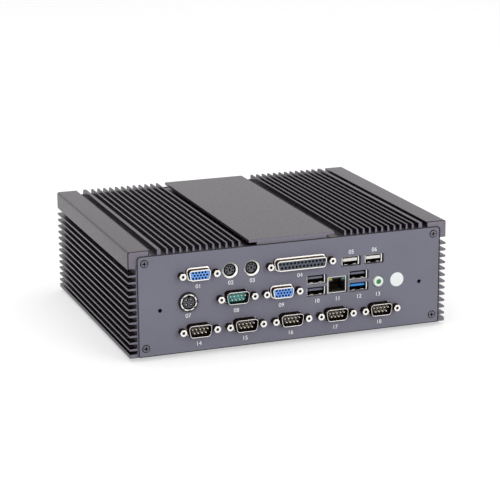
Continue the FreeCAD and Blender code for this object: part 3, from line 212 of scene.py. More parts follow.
AUDIO_SHELF = 1.0

# Flat data sockets; the rises are the heights of the mouths from the middle of the shell
USB_SINGLE = SimpleNamespace(
    mouth=(12.1, 5.6),
    flare=(1.2, 0.5),
    cutout=(15.4, 7.2),
    tongue=(11.0, 2.2),
    recess=0.5,
    rises=(0.0,),
)
USB_STACK = SimpleNamespace(
    mouth=(13.0, 5.4),
    flare=(0.9, 0.4),
    cutout=(15.4, 6.8),
    tongue=(11.0, 1.5),
    recess=1.0,
    rises=(-4.4, 4.4),
)
USB_WALL = 0.4
USB_RADIUS = 0.9
USB_LIP_EDGE = 0.06
USB_FLARE_DEPTH = 0.28
USB_TONGUE_RISE = 0.75
USB_CONTACT_X = (-3.5, -1.0, 1.0, 3.5)
USB_CONTACT = (1.0, 0.15)
USB_CONTACT_RUN = (0.6, 7.0)
USB_REAR_BLOCK = 4.0
SPRING_X = (-3.4, 3.4)
SPRING_WIDTH = 2.4
SPRING_THICKNESS = 0.25
SPRING_PATH = ((0.3, 0.12), (1.4, 0.5), (2.6, 0.85), (4.2, 0.75), (7.0, 0.15))

# Network socket
LAN_CUTOUT = (15.7, 12.8)
LAN_WALL = 0.7
LAN_GAP = 0.05
LAN_PLUG = (11.9, 7.2)
LAN_PLUG_RISE = 0.9
LAN_PLUG_DEPTH = 12.0
LAN_LATCH = (6.2, 1.9)
LAN_CONTACTS = 8
LAN_CONTACT_PITCH = 1.02
LAN_CONTACT_WIDTH = 0.45
LAN_CONTACT_PATH = ((2.5, 0.25), (4.0, 0.6), (8.5, 3.4), (10.5, 4.2))
LAN_CONTACT_THICKNESS = 0.3

# Print on the port panel: height of each row's middle and the ports that it numbers
LABEL_SIZE = 4.2
LABEL_WEIGHT = 0.03
PRINT_THICKNESS = 0.04
LABEL_ROWS = (
    (50.2, ("vga_port_2_shell", "keyboard_port_shield", "mouse_port_shield", "parallel_port_shell")),
    (63.2, ("usb_single_1_shell", "usb_single_2_shell")),
    (29.6, ("power_inlet_shield", "serial_port_1_insert", "vga_port_1_shell", "usb_stack_1_shell")),
    (29.6, ("lan_shell", "usb_stack_2_shell", "audio_jack")),
)
LOWER_LABELS = 8.4

# Front panel and feet; a round is in (inwards, depth) points from the edge
BEZEL_RADIUS = 9.5
BEZEL_ROUND = ((0.9, 0.0), (0.25, 0.25), (0.0, 0.9))
BARREL_RADIUS = 7.9
BUTTON_WELL = 6.25
BUTTON_WELL_DEPTH = 1.9
BUTTON_WELL_EDGE = 0.4
BUTTON_DISH = 0.4
BUTTON_DISH_STEPS = 4
BUTTON_LIP = 0.6
BUTTON_ROUND = ((0.18, 0.05), (0.0, 0.3))
LAMP_STEPS = 6
FOOT_ROUND = ((1.2, 0.0), (0.75, 0.12), (0.5, 0.5))

# Plain finishes: two sRGB tones to drift between, roughness range and bump
PLAIN_FINISHES = {
    "black_plastic": ((16, 16, 19), (30, 30, 34), (0.4, 0.55), 0.05),
    "grey_plastic": ((82, 82, 89), (100, 100, 107), (0.4, 0.55), 0.05),
    "slate_plastic": ((66, 72, 84), (84, 90, 102), (0.4, 0.55), 0.05),
    "inlet_core": ((56, 56, 64), (74, 74, 82), (0.4, 0.55), 0.05),
    # Grey for tongues of black plastic, standing in for light on their fronts: painted highlight
    "lit_tongue_grey": ((106, 110, 124), (128, 132, 146), (0.35, 0.5), 0.04),
    "blue_plastic": ((92, 154, 250), (120, 178, 255), (0.35, 0.5), 0.04),
    "teal_plastic": ((48, 186, 196), (84, 214, 218), (0.35, 0.5), 0.04),
    "bright_blue_plastic": ((36, 150, 254), (84, 184, 255), (0.35, 0.5), 0.04),
    "cream_plastic": ((244, 242, 234), (254, 253, 250), (0.35, 0.5), 0.04),
    "audio_green": ((104, 186, 122), (132, 208, 146), (0.3, 0.45), 0.03),
    "lime_plastic": ((238, 249, 240), (250, 255, 251), (0.3, 0.45), 0.03),
    "white_label": ((244, 251, 249), (252, 255, 254), (0.35, 0.5), 0.03),
    "yellow_lamp": ((146, 156, 56), (180, 188, 84), (0.15, 0.25), 0.0),
    "green_lamp": ((50, 116, 104), (84, 150, 134), (0.15, 0.25), 0.0),
    "amber_lamp": ((214, 132, 44), (240, 168, 80), (0.15, 0.25), 0.0),
    "rubber": ((22, 22, 23), (40, 40, 41), (0.75, 0.9), 0.15),
    "circuit_board": ((14, 66, 42), (26, 92, 60), (0.3, 0.45), 0.05),
    "chip": ((24, 24, 26), (38, 38, 40), (0.5, 0.65), 0.05),
    "thermal_pad": ((132, 142, 158), (154, 164, 178), (0.7, 0.85), 0.1),
}

# Plain metals: two sRGB tones, roughness range and metal share
METALS = {
    "bright_tin": ((226, 224, 218), (248, 246, 241), (0.4, 0.55), 0.4),
    "gold_contact": ((246, 234, 208), (255, 250, 236), (0.3, 0.42), 0.3),
    "dull_gold": ((84, 70, 46), (116, 100, 68), (0.3, 0.42), 0.9),
    "cell_steel": ((176, 176, 176), (206, 206, 206), (0.2, 0.35), 1.0),
    "drive_case": ((70, 70, 74), (90, 90, 94), (0.35, 0.5), 0.9),
    "button_steel": ((168, 168, 170), (206, 206, 208), (0.2, 0.34), 1.0),
}

# Finishes with something of their own, such as paler sawn ends, a drawn-out grain or painted shade
OTHER_FINISHES = {
    "anodised_housing": {
        "tones": ((12, 9, 13), (22, 18, 24)),
        "ends": ((112, 110, 120), (126, 123, 135)),
        "end_turn": (0.9, 0.97),
        "roughness": (0.24, 0.38),
        "grain": 1.2,
        "bump": 0.25,
        "tint": (1.0, 0.8, 1.0, 1.0),
        "ior": 1.55,
    },
    "slate_panel": {
        "tones": ((112, 111, 126), (122, 121, 136)),
        "roughness": (0.45, 0.6),
        "grain": 0.4,
        "bump": 0.06,
    },
    # Dark screws: the flat faces of the heads keep their grey tone; the chamfer ring and the walls of the
    # cross recess are near black, which is painted shade
    "dark_screw": {
        "tones": ((10, 10, 11), (20, 20, 22)),
        "ends": ((104, 103, 110), (130, 129, 136)),
        "end_turn": (0.9, 0.97),
        "roughness": (0.3, 0.45),
        "metallic": 0.6,
    },
    # Nickel: faces that look along Y keep the bright plated tone; every other face, such as the outer sides
    # of the shells and jackscrews, takes the dark brownish tone and dark edge tint, which are painted shade
    "nickel": {
        "tones": ((58, 51, 47), (90, 80, 73)),
        "ends": ((230, 227, 221), (250, 248, 244)),
        "tint": (0.44, 0.37, 0.33, 1.0),
        "roughness": (0.24, 0.38),
        "metallic": 0.9,
    },
    # Near-black painted shade for the dark insides of holes
    "hole_shade_black": {"tones": ((4, 4, 5), (10, 10, 12)), "roughness": (0.7, 0.85), "specular": 0.1},
    "plain_aluminium": {
        "tones": ((184, 184, 186), (214, 214, 216)),
        "roughness": (0.28, 0.42),
        "metallic": 1.0,
        "stretch": (1.0, 0.05, 1.0),
    },
    "flat_cable": {
        "tones": ((128, 128, 130), (172, 172, 174)),
        "roughness": (0.5, 0.6),
        "grain": 1.27,
        "stretch": (1.0, 0.01, 0.01),
    },
}
EVEN = (1.0, 1.0, 1.0)
GRAIN_DETAIL = 3.0
GRAIN_SPREAD = (0.3, 0.7)
BROAD_GRAIN = 30.0
BROAD_SHARE = 0.4
BUMP_HEIGHT = 0.05


def tone(red, green, blue):
    """Linear colour of an sRGB tone from 0 to 255."""
    shares = [value / 255 for value in (red, green, blue)]
    linear = [s / 12.92 if s <= 0.04045 else ((s + 0.055) / 1.055) ** 2.4 for s in shares]
    return (*linear, 1.0)


def linked(tree, kind, **inputs):
    """First output of a new shader node whose inputs are set or linked by name."""
    node = tree.nodes.new(kind)
    for name, value in inputs.items():
        socket = node.inputs[name.replace("_", " ")]
        if isinstance(value, bpy.types.NodeSocket):
            tree.links.new(value, socket)
        else:
            socket.default_value = value
    return node.outputs[0]


def maths(tree, operation, *values):
    """Output of a new shader node that works out something from other outputs."""
    node = tree.nodes.new("ShaderNodeMath")
    node.operation = operation
    for value, socket in zip(values, node.inputs):
        tree.links.new(value, socket)
    return node.outputs[0]


def noise(tree, place, grain, stretch):
    """Noise from 0 to 1 with grains of that size, in millimetres."""
    scale = [share / (grain * MM) for share in stretch]
    moved = linked(tree, "ShaderNodeMapping", Vector=place, Scale=scale)
    grains = linked(tree, "ShaderNodeTexNoise", Vector=moved, Scale=1.0, Detail=GRAIN_DETAIL)
    low, high = GRAIN_SPREAD
    return linked(tree, "ShaderNodeMapRange", Value=grains, From_Min=low, From_Max=high)


def toned(tree, share, dark, pale):
    """Colour between two sRGB tones."""
    return linked(tree, "ShaderNodeMixRGB", Fac=share, Color1=tone(*dark), Color2=tone(*pale))


def sawn_or_unshaded_mask(tree, start, end):
    """One on faces that look along Y and zero on the rest: sawn ends, or faces left out of painted shade.

    The change runs over the two given shares of a face's normal along Y.
    """
    normal = tree.nodes.new("ShaderNodeNewGeometry").outputs["Normal"]
    facing = linked(tree, "ShaderNodeSeparateXYZ", Vector=normal).node.outputs["Y"]
    size = maths(tree, "ABSOLUTE", facing)
    return linked(tree, "ShaderNodeMapRange", Value=size, From_Min=start, From_Max=end)


def finish(name, tones, roughness, metallic=0.0, grain=0.5, stretch=EVEN, bump=0.0, ends=None,
           end_turn=(0.5, 0.7), specular=0.5, tint=WHITE, ior=1.5):
    """Procedural material whose colour, gloss and relief follow a fine grain over a broad drift."""
    material = bpy.data.materials.new(name)
    material.use_nodes = True
    tree = material.node_tree
    shader = tree.nodes["Principled BSDF"].inputs
    shader["Metallic"].default_value = metallic
    shader["Specular IOR Level"].default_value = specular
    shader["Specular Tint"].default_value = tint
    shader["IOR"].default_value = ior
    place = tree.nodes.new("ShaderNodeTexCoord").outputs["Object"]
    grains = noise(tree, place, grain, stretch)
    broad = noise(tree, place, BROAD_GRAIN, EVEN)
    drift = linked(tree, "ShaderNodeMix", Factor=BROAD_SHARE, A=grains, B=broad)
    colour = toned(tree, drift, *tones)
    # Faces along Y take the second tones: sawn ends, or on nickel and screws the faces free of painted shade
    if ends:
        sawn_or_unshaded = toned(tree, drift, *ends)
        mask = sawn_or_unshaded_mask(tree, *end_turn)
        colour = linked(tree, "ShaderNodeMixRGB", Fac=mask, Color1=colour, Color2=sawn_or_unshaded)
    tree.links.new(colour, shader["Base Color"])
    low, high = roughness
    gloss = linked(tree, "ShaderNodeMapRange", Value=grains, To_Min=low, To_Max=high)
    tree.links.new(gloss, shader["Roughness"])
    if bump:
        relief = linked(tree, "ShaderNodeBump", Strength=bump, Distance=BUMP_HEIGHT * MM, Height=grains)
        tree.links.new(relief, shader["Normal"])
    return material


MATERIALS = {name: finish(name, **values) for name, values in OTHER_FINISHES.items()}
for name, (*tones, roughness, bump) in PLAIN_FINISHES.items():
    MATERIALS[name] = finish(name, tones, roughness, bump=bump)
for name, (*tones, roughness, metallic) in METALS.items():
    MATERIALS[name] = finish(name, tones, roughness, metallic)


def span(node):
    """Lowest and highest corner of a CAD node, in millimetres."""
    low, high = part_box(node)
    return low / MM, high / MM


def middle(low, high):
    """Middle of a box across and in height."""
    return (low.x + high.x) / 2, (low.z + high.z) / 2


def plan_middle(low, high):
    """Middle of a box across and in depth."""
    return (low.x + high.x) / 2, (low.y + high.y) / 2


def centre(node):
    """Middle of a CAD node across and in height."""
    return middle(*span(node))


def half_width(node):
    """Half the width of a CAD node."""
    low, high = span(node)
    return (high.x - low.x) / 2


def cad_mesh(node):
    """A CAD node's mesh in millimetres, with its corners joined."""
    bm = bmesh.new()
    bm.from_mesh(frame["nodes"][node].data)
    bmesh.ops.scale(bm, vec=(1 / MM,) * 3, verts=bm.verts)
    bmesh.ops.remove_doubles(bm, verts=bm.verts, dist=MERGE_DISTANCE)
    return bm


def islands(bm):
    """Corners of each separate body of a mesh."""
    left = set(bm.verts)
    bodies = []
    while left:
        queue = [left.pop()]
        body = []
        while queue:
            vert = queue.pop()
            body.append(vert)
            fresh = {edge.other_vert(vert) for edge in vert.link_edges} & left
            left -= fresh
            queue += fresh
        bodies.append(body)
    return bodies


def solids(node):
    """Lowest and highest corner of each separate solid of a CAD node, in millimetres, in reading order."""
    bm = cad_mesh(node)
    boxes = []
    for body in islands(bm):
        low = Vector([min(vert.co[i] for vert in body) for i in range(3)])
        high = Vector([max(vert.co[i] for vert in body) for i in range(3)])
        boxes.append((low, high))
    bm.free()
    return sorted(boxes, key=lambda box: (-round(box[0].z), box[0].x))


def face_outwards(bm):
    """Turns the faces of each closed body outwards, where its signed volume shows that they look inwards."""
    bmesh.ops.recalc_face_normals(bm, faces=bm.faces)
    for body in islands(bm):
        faces = list({face for vert in body for face in vert.link_faces})
        volume = sum(face.calc_center_median().dot(face.normal) * face.calc_area() for face in faces)
        if volume < 0:
            bmesh.ops.reverse_faces(bm, faces=faces)


def end_outlines(node, depth):
    """Outlines of a CAD node's flat end at that depth, with the outer one first."""
    bm = cad_mesh(node)
    at_end = {vert for vert in bm.verts if abs(vert.co.y - depth) < MERGE_DISTANCE}
    onward = {}
    for edge in bm.edges:
        flat = [face for face in edge.link_faces if at_end.issuperset(face.verts)]
        if len(flat) == 1 and at_end.issuperset(edge.verts):
            first, second = edge.verts
            onward.setdefault(first, []).append(second)
            onward.setdefault(second, []).append(first)
    outlines = []
    while onward:
        start = next(iter(onward))
        ring = [start]
        before, here = None, start
        while True:
            ahead = next(vert for vert in onward[here] if vert is not before)
            if ahead is start:
                break
            ring.append(ahead)
            before, here = here, ahead
        for vert in ring:
            del onward[vert]
        outlines.append(plain_outline([Vector((vert.co.x, vert.co.z)) for vert in ring]))
    bm.free()
    return sorted(outlines, key=area, reverse=True)


def area(points):
    """Signed area of an outline, positive where it runs anticlockwise."""
    return sum(points[i - 1].cross(point) for i, point in enumerate(points)) / 2


def plain_outline(points):
    """The same outline, anticlockwise and without points on straight runs."""
    kept = []
    count = len(points)
    for i, point in enumerate(points):
        into = point - points[i - 1]
        out = points[(i + 1) % count] - point
        if into.angle(out) > FLAT_TURN:
            kept.append(point)
    return kept if area(kept) > 0 else kept[::-1]


def around(u, v, radius, angles):
    """Points round a circle at the given angles."""
    return [Vector((u + radius * cos(a), v + radius * sin(a))) for a in angles]


def circle(u, v, radius, sides=ROUND_SIDES):
    """Outline of a circle."""
    return around(u, v, radius, [2 * pi * i / sides for i in range(sides)])


def rounded(corners, steps=CORNER_STEPS):
    """Outline through (u, v, radius) corners, each rounded by its own radius."""
    points = []
    for i, (u, v, radius) in enumerate(corners):
        corner = Vector((u, v))
        if radius == 0:
            points.append(corner)
            continue
        before = (Vector(corners[i - 1][:2]) - corner).normalized()
        after = (Vector(corners[(i + 1) % len(corners)][:2]) - corner).normalized()
        half = before.angle(after) / 2
        centre_point = corner + (before + after).normalized() * (radius / sin(half))
        enter = corner + before * (radius / tan(half)) - centre_point
        leave = corner + after * (radius / tan(half)) - centre_point
        turn = pi - 2 * half
        for step in range(steps + 1):
            share = step / steps
            spoke = enter * sin((1 - share) * turn) + leave * sin(share * turn)
            points.append(centre_point + spoke / sin(turn))
    return points


def mirrored(u, right):
    """Outline alike on both sides of u, from the (reach, height) points of its right side, lowest first."""
    left = [(-reach, height) for reach, height in right]
    return [Vector((u + reach, height)) for reach, height in left[:1] + right + left[:0:-1]]


def d_outline(u, v, size, radius):
    """Outline of a D-shaped connector, with its wide side up."""
    top, rise = size[0] / 2, size[1] / 2
    bottom = top - size[1] * tan(D_SLOPE)
    return rounded([(*place, radius) for place in mirrored(u, [(bottom, v - rise), (top, v + rise)])])


def rectangle(u, v, width, height, radius):
    """Outline of a rectangle with rounded corners, centred on u and v."""
    half, rise = width / 2, height / 2
    return rounded([(*place, radius) for place in mirrored(u, [(half, v - rise), (half, v + rise)])])


def hexagon(u, v, size):
    """Outline of a hexagon with that distance across its flats, with points along its sides."""
    corners = circle(u, v, size / sqrt(3), 6)
    shares = [k / HEX_SIDE_POINTS for k in range(HEX_SIDE_POINTS)]
    return [corner.lerp(corners[(i + 1) % 6], share) for i, corner in enumerate(corners) for share in shares]


def cross(u, v, reach, half):
    """Outline of a cross recess, whose arms have that reach and half width."""
    arm = [(reach, -half), (reach, half), (half, half)]
    points = []
    for _ in range(4):
        points += [Vector((u + x, v + y)) for x, y in arm]
        arm = [(-y, x) for x, y in arm]
    return points


def keyed_circle(u, v, radius, width, depth):
    """Outline of a circle with a square slot in its top."""
    edge = acos(width / 2 / radius)
    turn = (pi + 2 * edge) / ROUND_SIDES
    points = around(u, v, radius, [pi - edge + turn * i for i in range(ROUND_SIDES + 1)])
    return points + [Vector((u + side * width / 2, v + radius - depth)) for side in (1, -1)]


def inset(points, distance):
    """The same outline with its sides moved inwards by a distance, or by one for each corner."""
    widths = distance if isinstance(distance, list) else [distance] * len(points)
    moved = []
    for i, point in enumerate(points):
        into = (point - points[i - 1]).normalized()
        out = (points[(i + 1) % len(points)] - point).normalized()
        side = Vector((-into.y, into.x))
        across = (side + Vector((-out.y, out.x))).normalized()
        moved.append(point + across * (widths[i] / across.dot(side)))
    return moved


def upright(u, v, depth):
    """A point of an outline that faces along Y."""
    return (u, depth, v)


def level(u, v, depth):
    """A point of an outline that faces along Z."""
    return (u, v, depth)


def add_loop(bm, points, depth, plane=upright):
    """Corners of an outline at one depth."""
    return [bm.verts.new(plane(point.x, point.y, depth)) for point in points]


def skin(bm, loops):
    """Walls from each loop to the next; a loop of one corner closes to a point."""
    for first, second in zip(loops, loops[1:]):
        count = max(len(first), len(second))
        for i in range(count):
            k = (i + 1) % count
            corners = [loop[n % len(loop)] for loop, n in ((first, i), (first, k), (second, k), (second, i))]
            bm.faces.new(list(dict.fromkeys(corners)))


def cap(bm, loops):
    """Flat face inside the first loop and outside the others."""
    edges = []
    for ring in loops:
        for i, vert in enumerate(ring):
            pair = (ring[i - 1], vert)
            edges.append(bm.edges.get(pair) or bm.edges.new(pair))
    bmesh.ops.triangle_fill(bm, use_beauty=True, use_dissolve=False, edges=edges)


def closed_body(bm, stacks):
    """Walls along stacks of loops, the outer stack first, with flat faces between the stacks at both ends."""
    for loops in stacks:
        skin(bm, loops)
    cap(bm, [loops[0] for loops in stacks])
    cap(bm, [loops[-1] for loops in stacks])


def slab(bm, outer, holes, start, end, edge, plane=upright, lip=0.0):
    """Closed plate between two depths, softened round its outline and round its holes.

    A hole is a pair of outlines, at the start and at the end of the plate. With a lip, it has the second
    outline from that depth on.
    """
    step = copysign(edge, end - start)
    stacks = []
    for near, far, side in [(outer, outer, 1)] + [(near, far, -1) for near, far in holes]:
        loops = []
        for back, down in EDGE_PROFILE:
            loops.append(add_loop(bm, inset(near, side * edge * back), start + step * down, plane))
        if lip and near is not far:
            loops.append(add_loop(bm, far, start + copysign(lip, step), plane))
        for back, down in reversed(EDGE_PROFILE):
            loops.append(add_loop(bm, inset(far, side * edge * back), end - step * down, plane))
        stacks.append(loops)
    closed_body(bm, stacks)


def straight(outlines):
    """Holes that keep their outline through a plate."""
    return [(points, points) for points in outlines]


def moulding(bm, node, front):
    """Moulded block as wide and as high as a CAD node, from a depth to the node's back."""
    low, high = span(node)
    outline = rectangle(*middle(low, high), high.x - low.x, high.z - low.z, MOULDED_EDGE)
    slab(bm, outline, [], front, high.y, MOULDED_EDGE)


def rings(bm, profile, u, v, sides=ROUND_SIDES, plane=upright):
    """Loops about the axis at u and v for (radius, depth) points; a zero radius is a single corner."""
    loops = []
    for radius, depth in profile:
        points = circle(u, v, radius, sides) if radius else [Vector((u, v))]
        loops.append(add_loop(bm, points, depth, plane))
    return loops


def turned(bm, profile, u, v, sides=ROUND_SIDES, plane=upright, closed=False):
    """Round body along (radius, depth) points, which end in zero radii or close into a ring."""
    loops = rings(bm, profile, u, v, sides, plane)
    skin(bm, loops + loops[:1] if closed else loops)


def thin_ring(bm, x, z, outer, wall, front, back, edge=SHEET_EDGE):
    """Round tube with a softened front rim."""
    inner = outer - wall
    profile = [(inner, back), (inner, front + edge), (inner + edge, front), (outer - edge, front)]
    turned(bm, profile + [(outer, front + edge), (outer, back)], x, z, closed=True)


def strip(bm, path, across, width, thickness):
    """Bent strip of sheet along (depth, height) points, centred on a place across."""
    outline = list(path) + [(y, z + thickness) for y, z in reversed(path)]
    sides = []
    for x in (across - width / 2, across + width / 2):
        sides.append([bm.verts.new((x, y, z)) for y, z in outline])
    closed_body(bm, [sides])


def add_object(name, data):
    """New object in the scene."""
    item = bpy.data.objects.new(name, data)
    bpy.context.scene.collection.objects.link(item)
    return item


def add_piece(name, bm, slot, nodes=(), body=HOUSING, look=None):
    """Makes a finished mesh a piece of the object that rides on a body and stands for CAD nodes."""
    face_outwards(bm)
    for face in bm.faces:
        face.smooth = True
    for edge in bm.edges:
        edge.smooth = len(edge.link_faces) == 2 and edge.calc_face_angle() < SMOOTH_ANGLE
    bmesh.ops.scale(bm, vec=(MM,) * 3, verts=bm.verts)
    mesh = bpy.data.meshes.new(name)
    bm.to_mesh(mesh)
    bm.free()
    mesh.materials.append(MATERIALS[look or slot])
    piece = add_object(name, mesh)
    normals = piece.modifiers.new("even shading", "WEIGHTED_NORMAL")
    normals.keep_sharp = True
    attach(piece, body)
    if nodes:
        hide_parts(*nodes)


def fine(node, bm, body=HOUSING, look=None):
    """Adds the piece that stands for one CAD node, in the material of that node's slot unless a look is
    given.
    """
    add_piece(node + "_fine", bm, SLOT_OF[node], [node], body, look)


def painted_shade_piece(name, bm):
    """Adds a near-black piece of painted shade that shows as the dark inside of a hole."""
    add_piece(name, bm, "black_plastic", look="hole_shade_black")


def dsub_ports():
    """Every D-shaped port: the values of its kind, its CAD node, place, screw spacing and depths."""
    found = [("serial_port_shells", PLUG, box) for box in solids("serial_port_shells")]
    for node in ("vga_port_1_shell", "vga_port_2_shell"):
        found.append((node, SMALL_SOCKET, span(node)))
    found.append(("parallel_port_shell", LARGE_SOCKET, span("parallel_port_shell")))
    ports = []
    for node, kind, (low, high) in found:
        port = SimpleNamespace(node=node, rim=low.y, back=high.y, flange=high.z - low.z, **kind)
        port.x, port.z = middle(low, high)
        port.spacing = high.x - low.x - D_FLANGE_EXTRA
        ports.append(port)
    return ports


PANEL_LOW, PANEL_HIGH = span("io_panel")
FACE = PANEL_LOW.y
BACK = PANEL_HIGH.y
FRONT_BACK = span("front_panel")[0].y
FRONT_FACE = span("front_panel")[1].y
DSUB_PORTS = dsub_ports()
JACKSCREWS = [(*middle(low, high), low.y) for low, high in solids("jackscrews")]
AUDIO_PLACE = (centre("audio_jack")[0], span("audio_jack")[0].z + AUDIO_AXIS_RISE)


def crisp(points, edge):
    """The same outline with its small rounded corners tighter, or plain where the sawn edge is wide."""
    count = len(points)
    longer = [i for i in range(count) if (points[i] - points[i - 1]).length > SMALL_SIDE]
    corners = []
    for i, k in zip(longer, longer[1:] + longer[:1]):
        along, beyond = points[i] - points[i - 1], points[k] - points[k - 1]
        turn = along.cross(beyond)
        share = (points[k - 1] - points[i - 1]).cross(beyond) / turn if turn else 0.0
        corner = points[i - 1] + along * share
        if (corner - points[i]).length < SMALL_SIDE:
            corners.append((*corner, EXTRUSION_CORNER if edge(corner) < EXTRUSION_CORNER else 0.0))
        else:
            run = range(i, k if k > i else k + count)
            corners += [(*points[n % count], 0.0) for n in run]
    return rounded(corners, EXTRUSION_STEPS)


def sawn_edge(point, outside):
    """Width of the broken edge at a corner of an extrusion's end: wide on the corner blocks, else narrow."""
    reach = outside - abs(point.x)
    on_block = reach < BLOCK_WIDTH + MERGE_DISTANCE and point.y > PANEL_HIGH.z + MERGE_DISTANCE
    return BLOCK_EDGE if on_block or reach < BLOCK_EDGE else EXTRUSION_EDGE


def extrusions():
    """The three finned extrusions, each along the outline of its own CAD end."""
    for node in ("top_heatsink", "left_heatsink", "right_heatsink"):
        low, high = span(node)
        outer, *holes = end_outlines(node, low.y)
        blocks = high.x if node == "top_heatsink" else inf
        outer = crisp(outer, lambda point: sawn_edge(point, blocks))
        bm = bmesh.new()
        stacks = []
        for points, side in [(outer, 1)] + [(hole, -1) for hole in holes]:
            widths = [sawn_edge(point, blocks) for point in points]
            moved = inset(points, [side * width for width in widths])
            steps = ((moved, low.y), (points, low.y), (points, high.y), (moved, high.y))
            loops = [add_loop(bm, ring, depth) for ring, depth in steps]
            for near, far, width in zip(loops[1], loops[2], widths):
                near.co.y += width
                far.co.y -= width
            stacks.append(loops)
        closed_body(bm, stacks)
        fine(node, bm)


def panel_outline(left=0.0, right=0.0, top=0.0, bottom=0.0):
    """Outline of the two panels, or one that reaches further on each side."""
    low_x, high_x = PANEL_LOW.x - left, PANEL_HIGH.x + right
    low_z, high_z = PANEL_LOW.z - bottom, PANEL_HIGH.z + top
    return rounded([
        (low_x, low_z, PANEL_BOTTOM_RADIUS),
        (high_x, low_z, PANEL_BOTTOM_RADIUS),
        (high_x, high_z, PANEL_TOP_RADIUS),
        (low_x, high_z, PANEL_TOP_RADIUS),
    ])


def countersinks(places):
    """Tapered holes for flat-headed screws."""
    return [(circle(*place, COUNTERSINK), circle(*place, COUNTERSINK_FAR)) for place in places]


def panel(node, openings, face, back):
    """One of the two panels, with its openings and its four corner screws."""
    corners = [middle(low, high) for low, high in solids("panel_screws") if low.y < 0]
    bm = bmesh.new()
    slab(bm, panel_outline(), countersinks(corners) + straight(openings), face, back, PANEL_EDGE)
    fine(node, bm)


def io_panel():
    """Port panel with an opening for each port and two plain holes."""
    openings = []
    for port in DSUB_PORTS:
        size = (port.spacing - D_CUTOUT_LESS, D_CUTOUT_HEIGHT)
        openings.append(d_outline(port.x, port.z, size, D_CUTOUT_RADIUS))
    for x, z, _ in JACKSCREWS:
        openings.append(circle(x, z, JACKSCREW_HOLE, SMALL_SIDES))
    for side in (-1, 1):
        z = span("base_plate")[0].z + PLAIN_HOLE_RISE
        openings.append(circle(side * PLAIN_HOLE_X, z, PLAIN_HOLE_RADIUS))
    for node in ("keyboard_port_shield", "mouse_port_shield"):
        openings.append(circle(*centre(node), half_width(node) + PORT_GAP))
    openings.append(circle(*centre("power_inlet_shield"), INLET_RADIUS + PORT_GAP))
    openings.append(circle(*AUDIO_PLACE, AUDIO_RADIUS + AUDIO_GAP))
    openings.append(rectangle(*centre("lan_shell"), *LAN_CUTOUT, USB_RADIUS))
    for number in (1, 2):
        for name, kind in ((f"usb_single_{number}", USB_SINGLE), (f"usb_stack_{number}", USB_STACK)):
            x, z = centre(name + "_shell")
            for rise in kind.rises:
                openings.append(rectangle(x, z + rise, *kind.cutout, USB_RADIUS))
    panel("io_panel", openings, FACE, BACK)


def front_panel():
    """Panel with the power button and the two lamps."""
    openings = [circle(*centre("power_button_body"), BARREL_RADIUS + PORT_GAP)]
    for node in ("power_led", "drive_led"):
        openings.append(circle(*centre(node), half_width(node) + PORT_GAP / 2))
    panel("front_panel", openings, FRONT_FACE, FRONT_BACK)


def panel_shade_seals():
    """Thin black seal round the edge of each panel: painted shade for the shadow gap between panel and
    housing.
    """
    outer = panel_outline(**SHADE_SEAL_REACH)
    for name, back, way in (("io_panel_shade_seal", BACK, -1), ("front_panel_shade_seal", FRONT_BACK, 1)):
        bm = bmesh.new()
        slab(bm, outer, straight([panel_outline()]), back + way * SHADE_SEAL_THICKNESS, back, SHADE_SEAL_EDGE)
        add_piece(name, bm, "rubber")


def base_plate():
    """Sheet-metal base with its bracket holes and countersunk screw holes."""
    low, high = span("base_plate")
    outline = rectangle(*plan_middle(low, high), high.x - low.x, high.y - low.y, PANEL_BOTTOM_RADIUS)
    half = BOLT_SPACING / 2
    bolts = [circle(i * half, k * half, BOLT_RADIUS) for i in (-1, 1) for k in (-1, 1)]
    holes = straight(bolts) + countersinks([plan_middle(*box) for box in solids("base_screws")])
    bm = bmesh.new()
    slab(bm, outline, holes, low.z, high.z, SHEET_EDGE, level)
    fine("base_plate", bm)


def screw(bm, place, face, end, plane=upright):
    """Flat-headed screw with a cross recess, from its face to its end."""
    way = copysign(1.0, end - face)
    shoulder = SCREW_HEAD - SCREW_SHANK + SCREW_HEAD_EDGE
    profile = [
        (SCREW_HEAD - SCREW_HEAD_EDGE, face),
        (SCREW_HEAD, face + way * SCREW_HEAD_EDGE),
        (SCREW_SHANK, face + way * shoulder),
        (SCREW_SHANK, end),
        (0.0, end),
    ]
    body = rings(bm, profile, *place, plane=plane)
    recess = []
    for share, depth in ((1.0, 0.0), (CROSS_TAPER, CROSS_DEPTH)):
        outline = cross(*place, CROSS_REACH * share, CROSS_HALF_WIDTH * share)
        recess.append(add_loop(bm, outline, face + way * depth, plane))
    skin(bm, body)
    skin(bm, recess)
    cap(bm, [body[0], recess[0]])
    cap(bm, recess[1:])


def screws():
    """Screws of the panels and of the base."""
    bm = bmesh.new()
    for low, high in solids("panel_screws"):
        ends = (low.y, high.y) if low.y < 0 else (high.y, low.y)
        screw(bm, middle(low, high), *ends)
    fine("panel_screws", bm)
    bm = bmesh.new()
    for low, high in solids("base_screws"):
        screw(bm, plan_middle(low, high), low.z, high.z, level)
    fine("base_screws", bm)


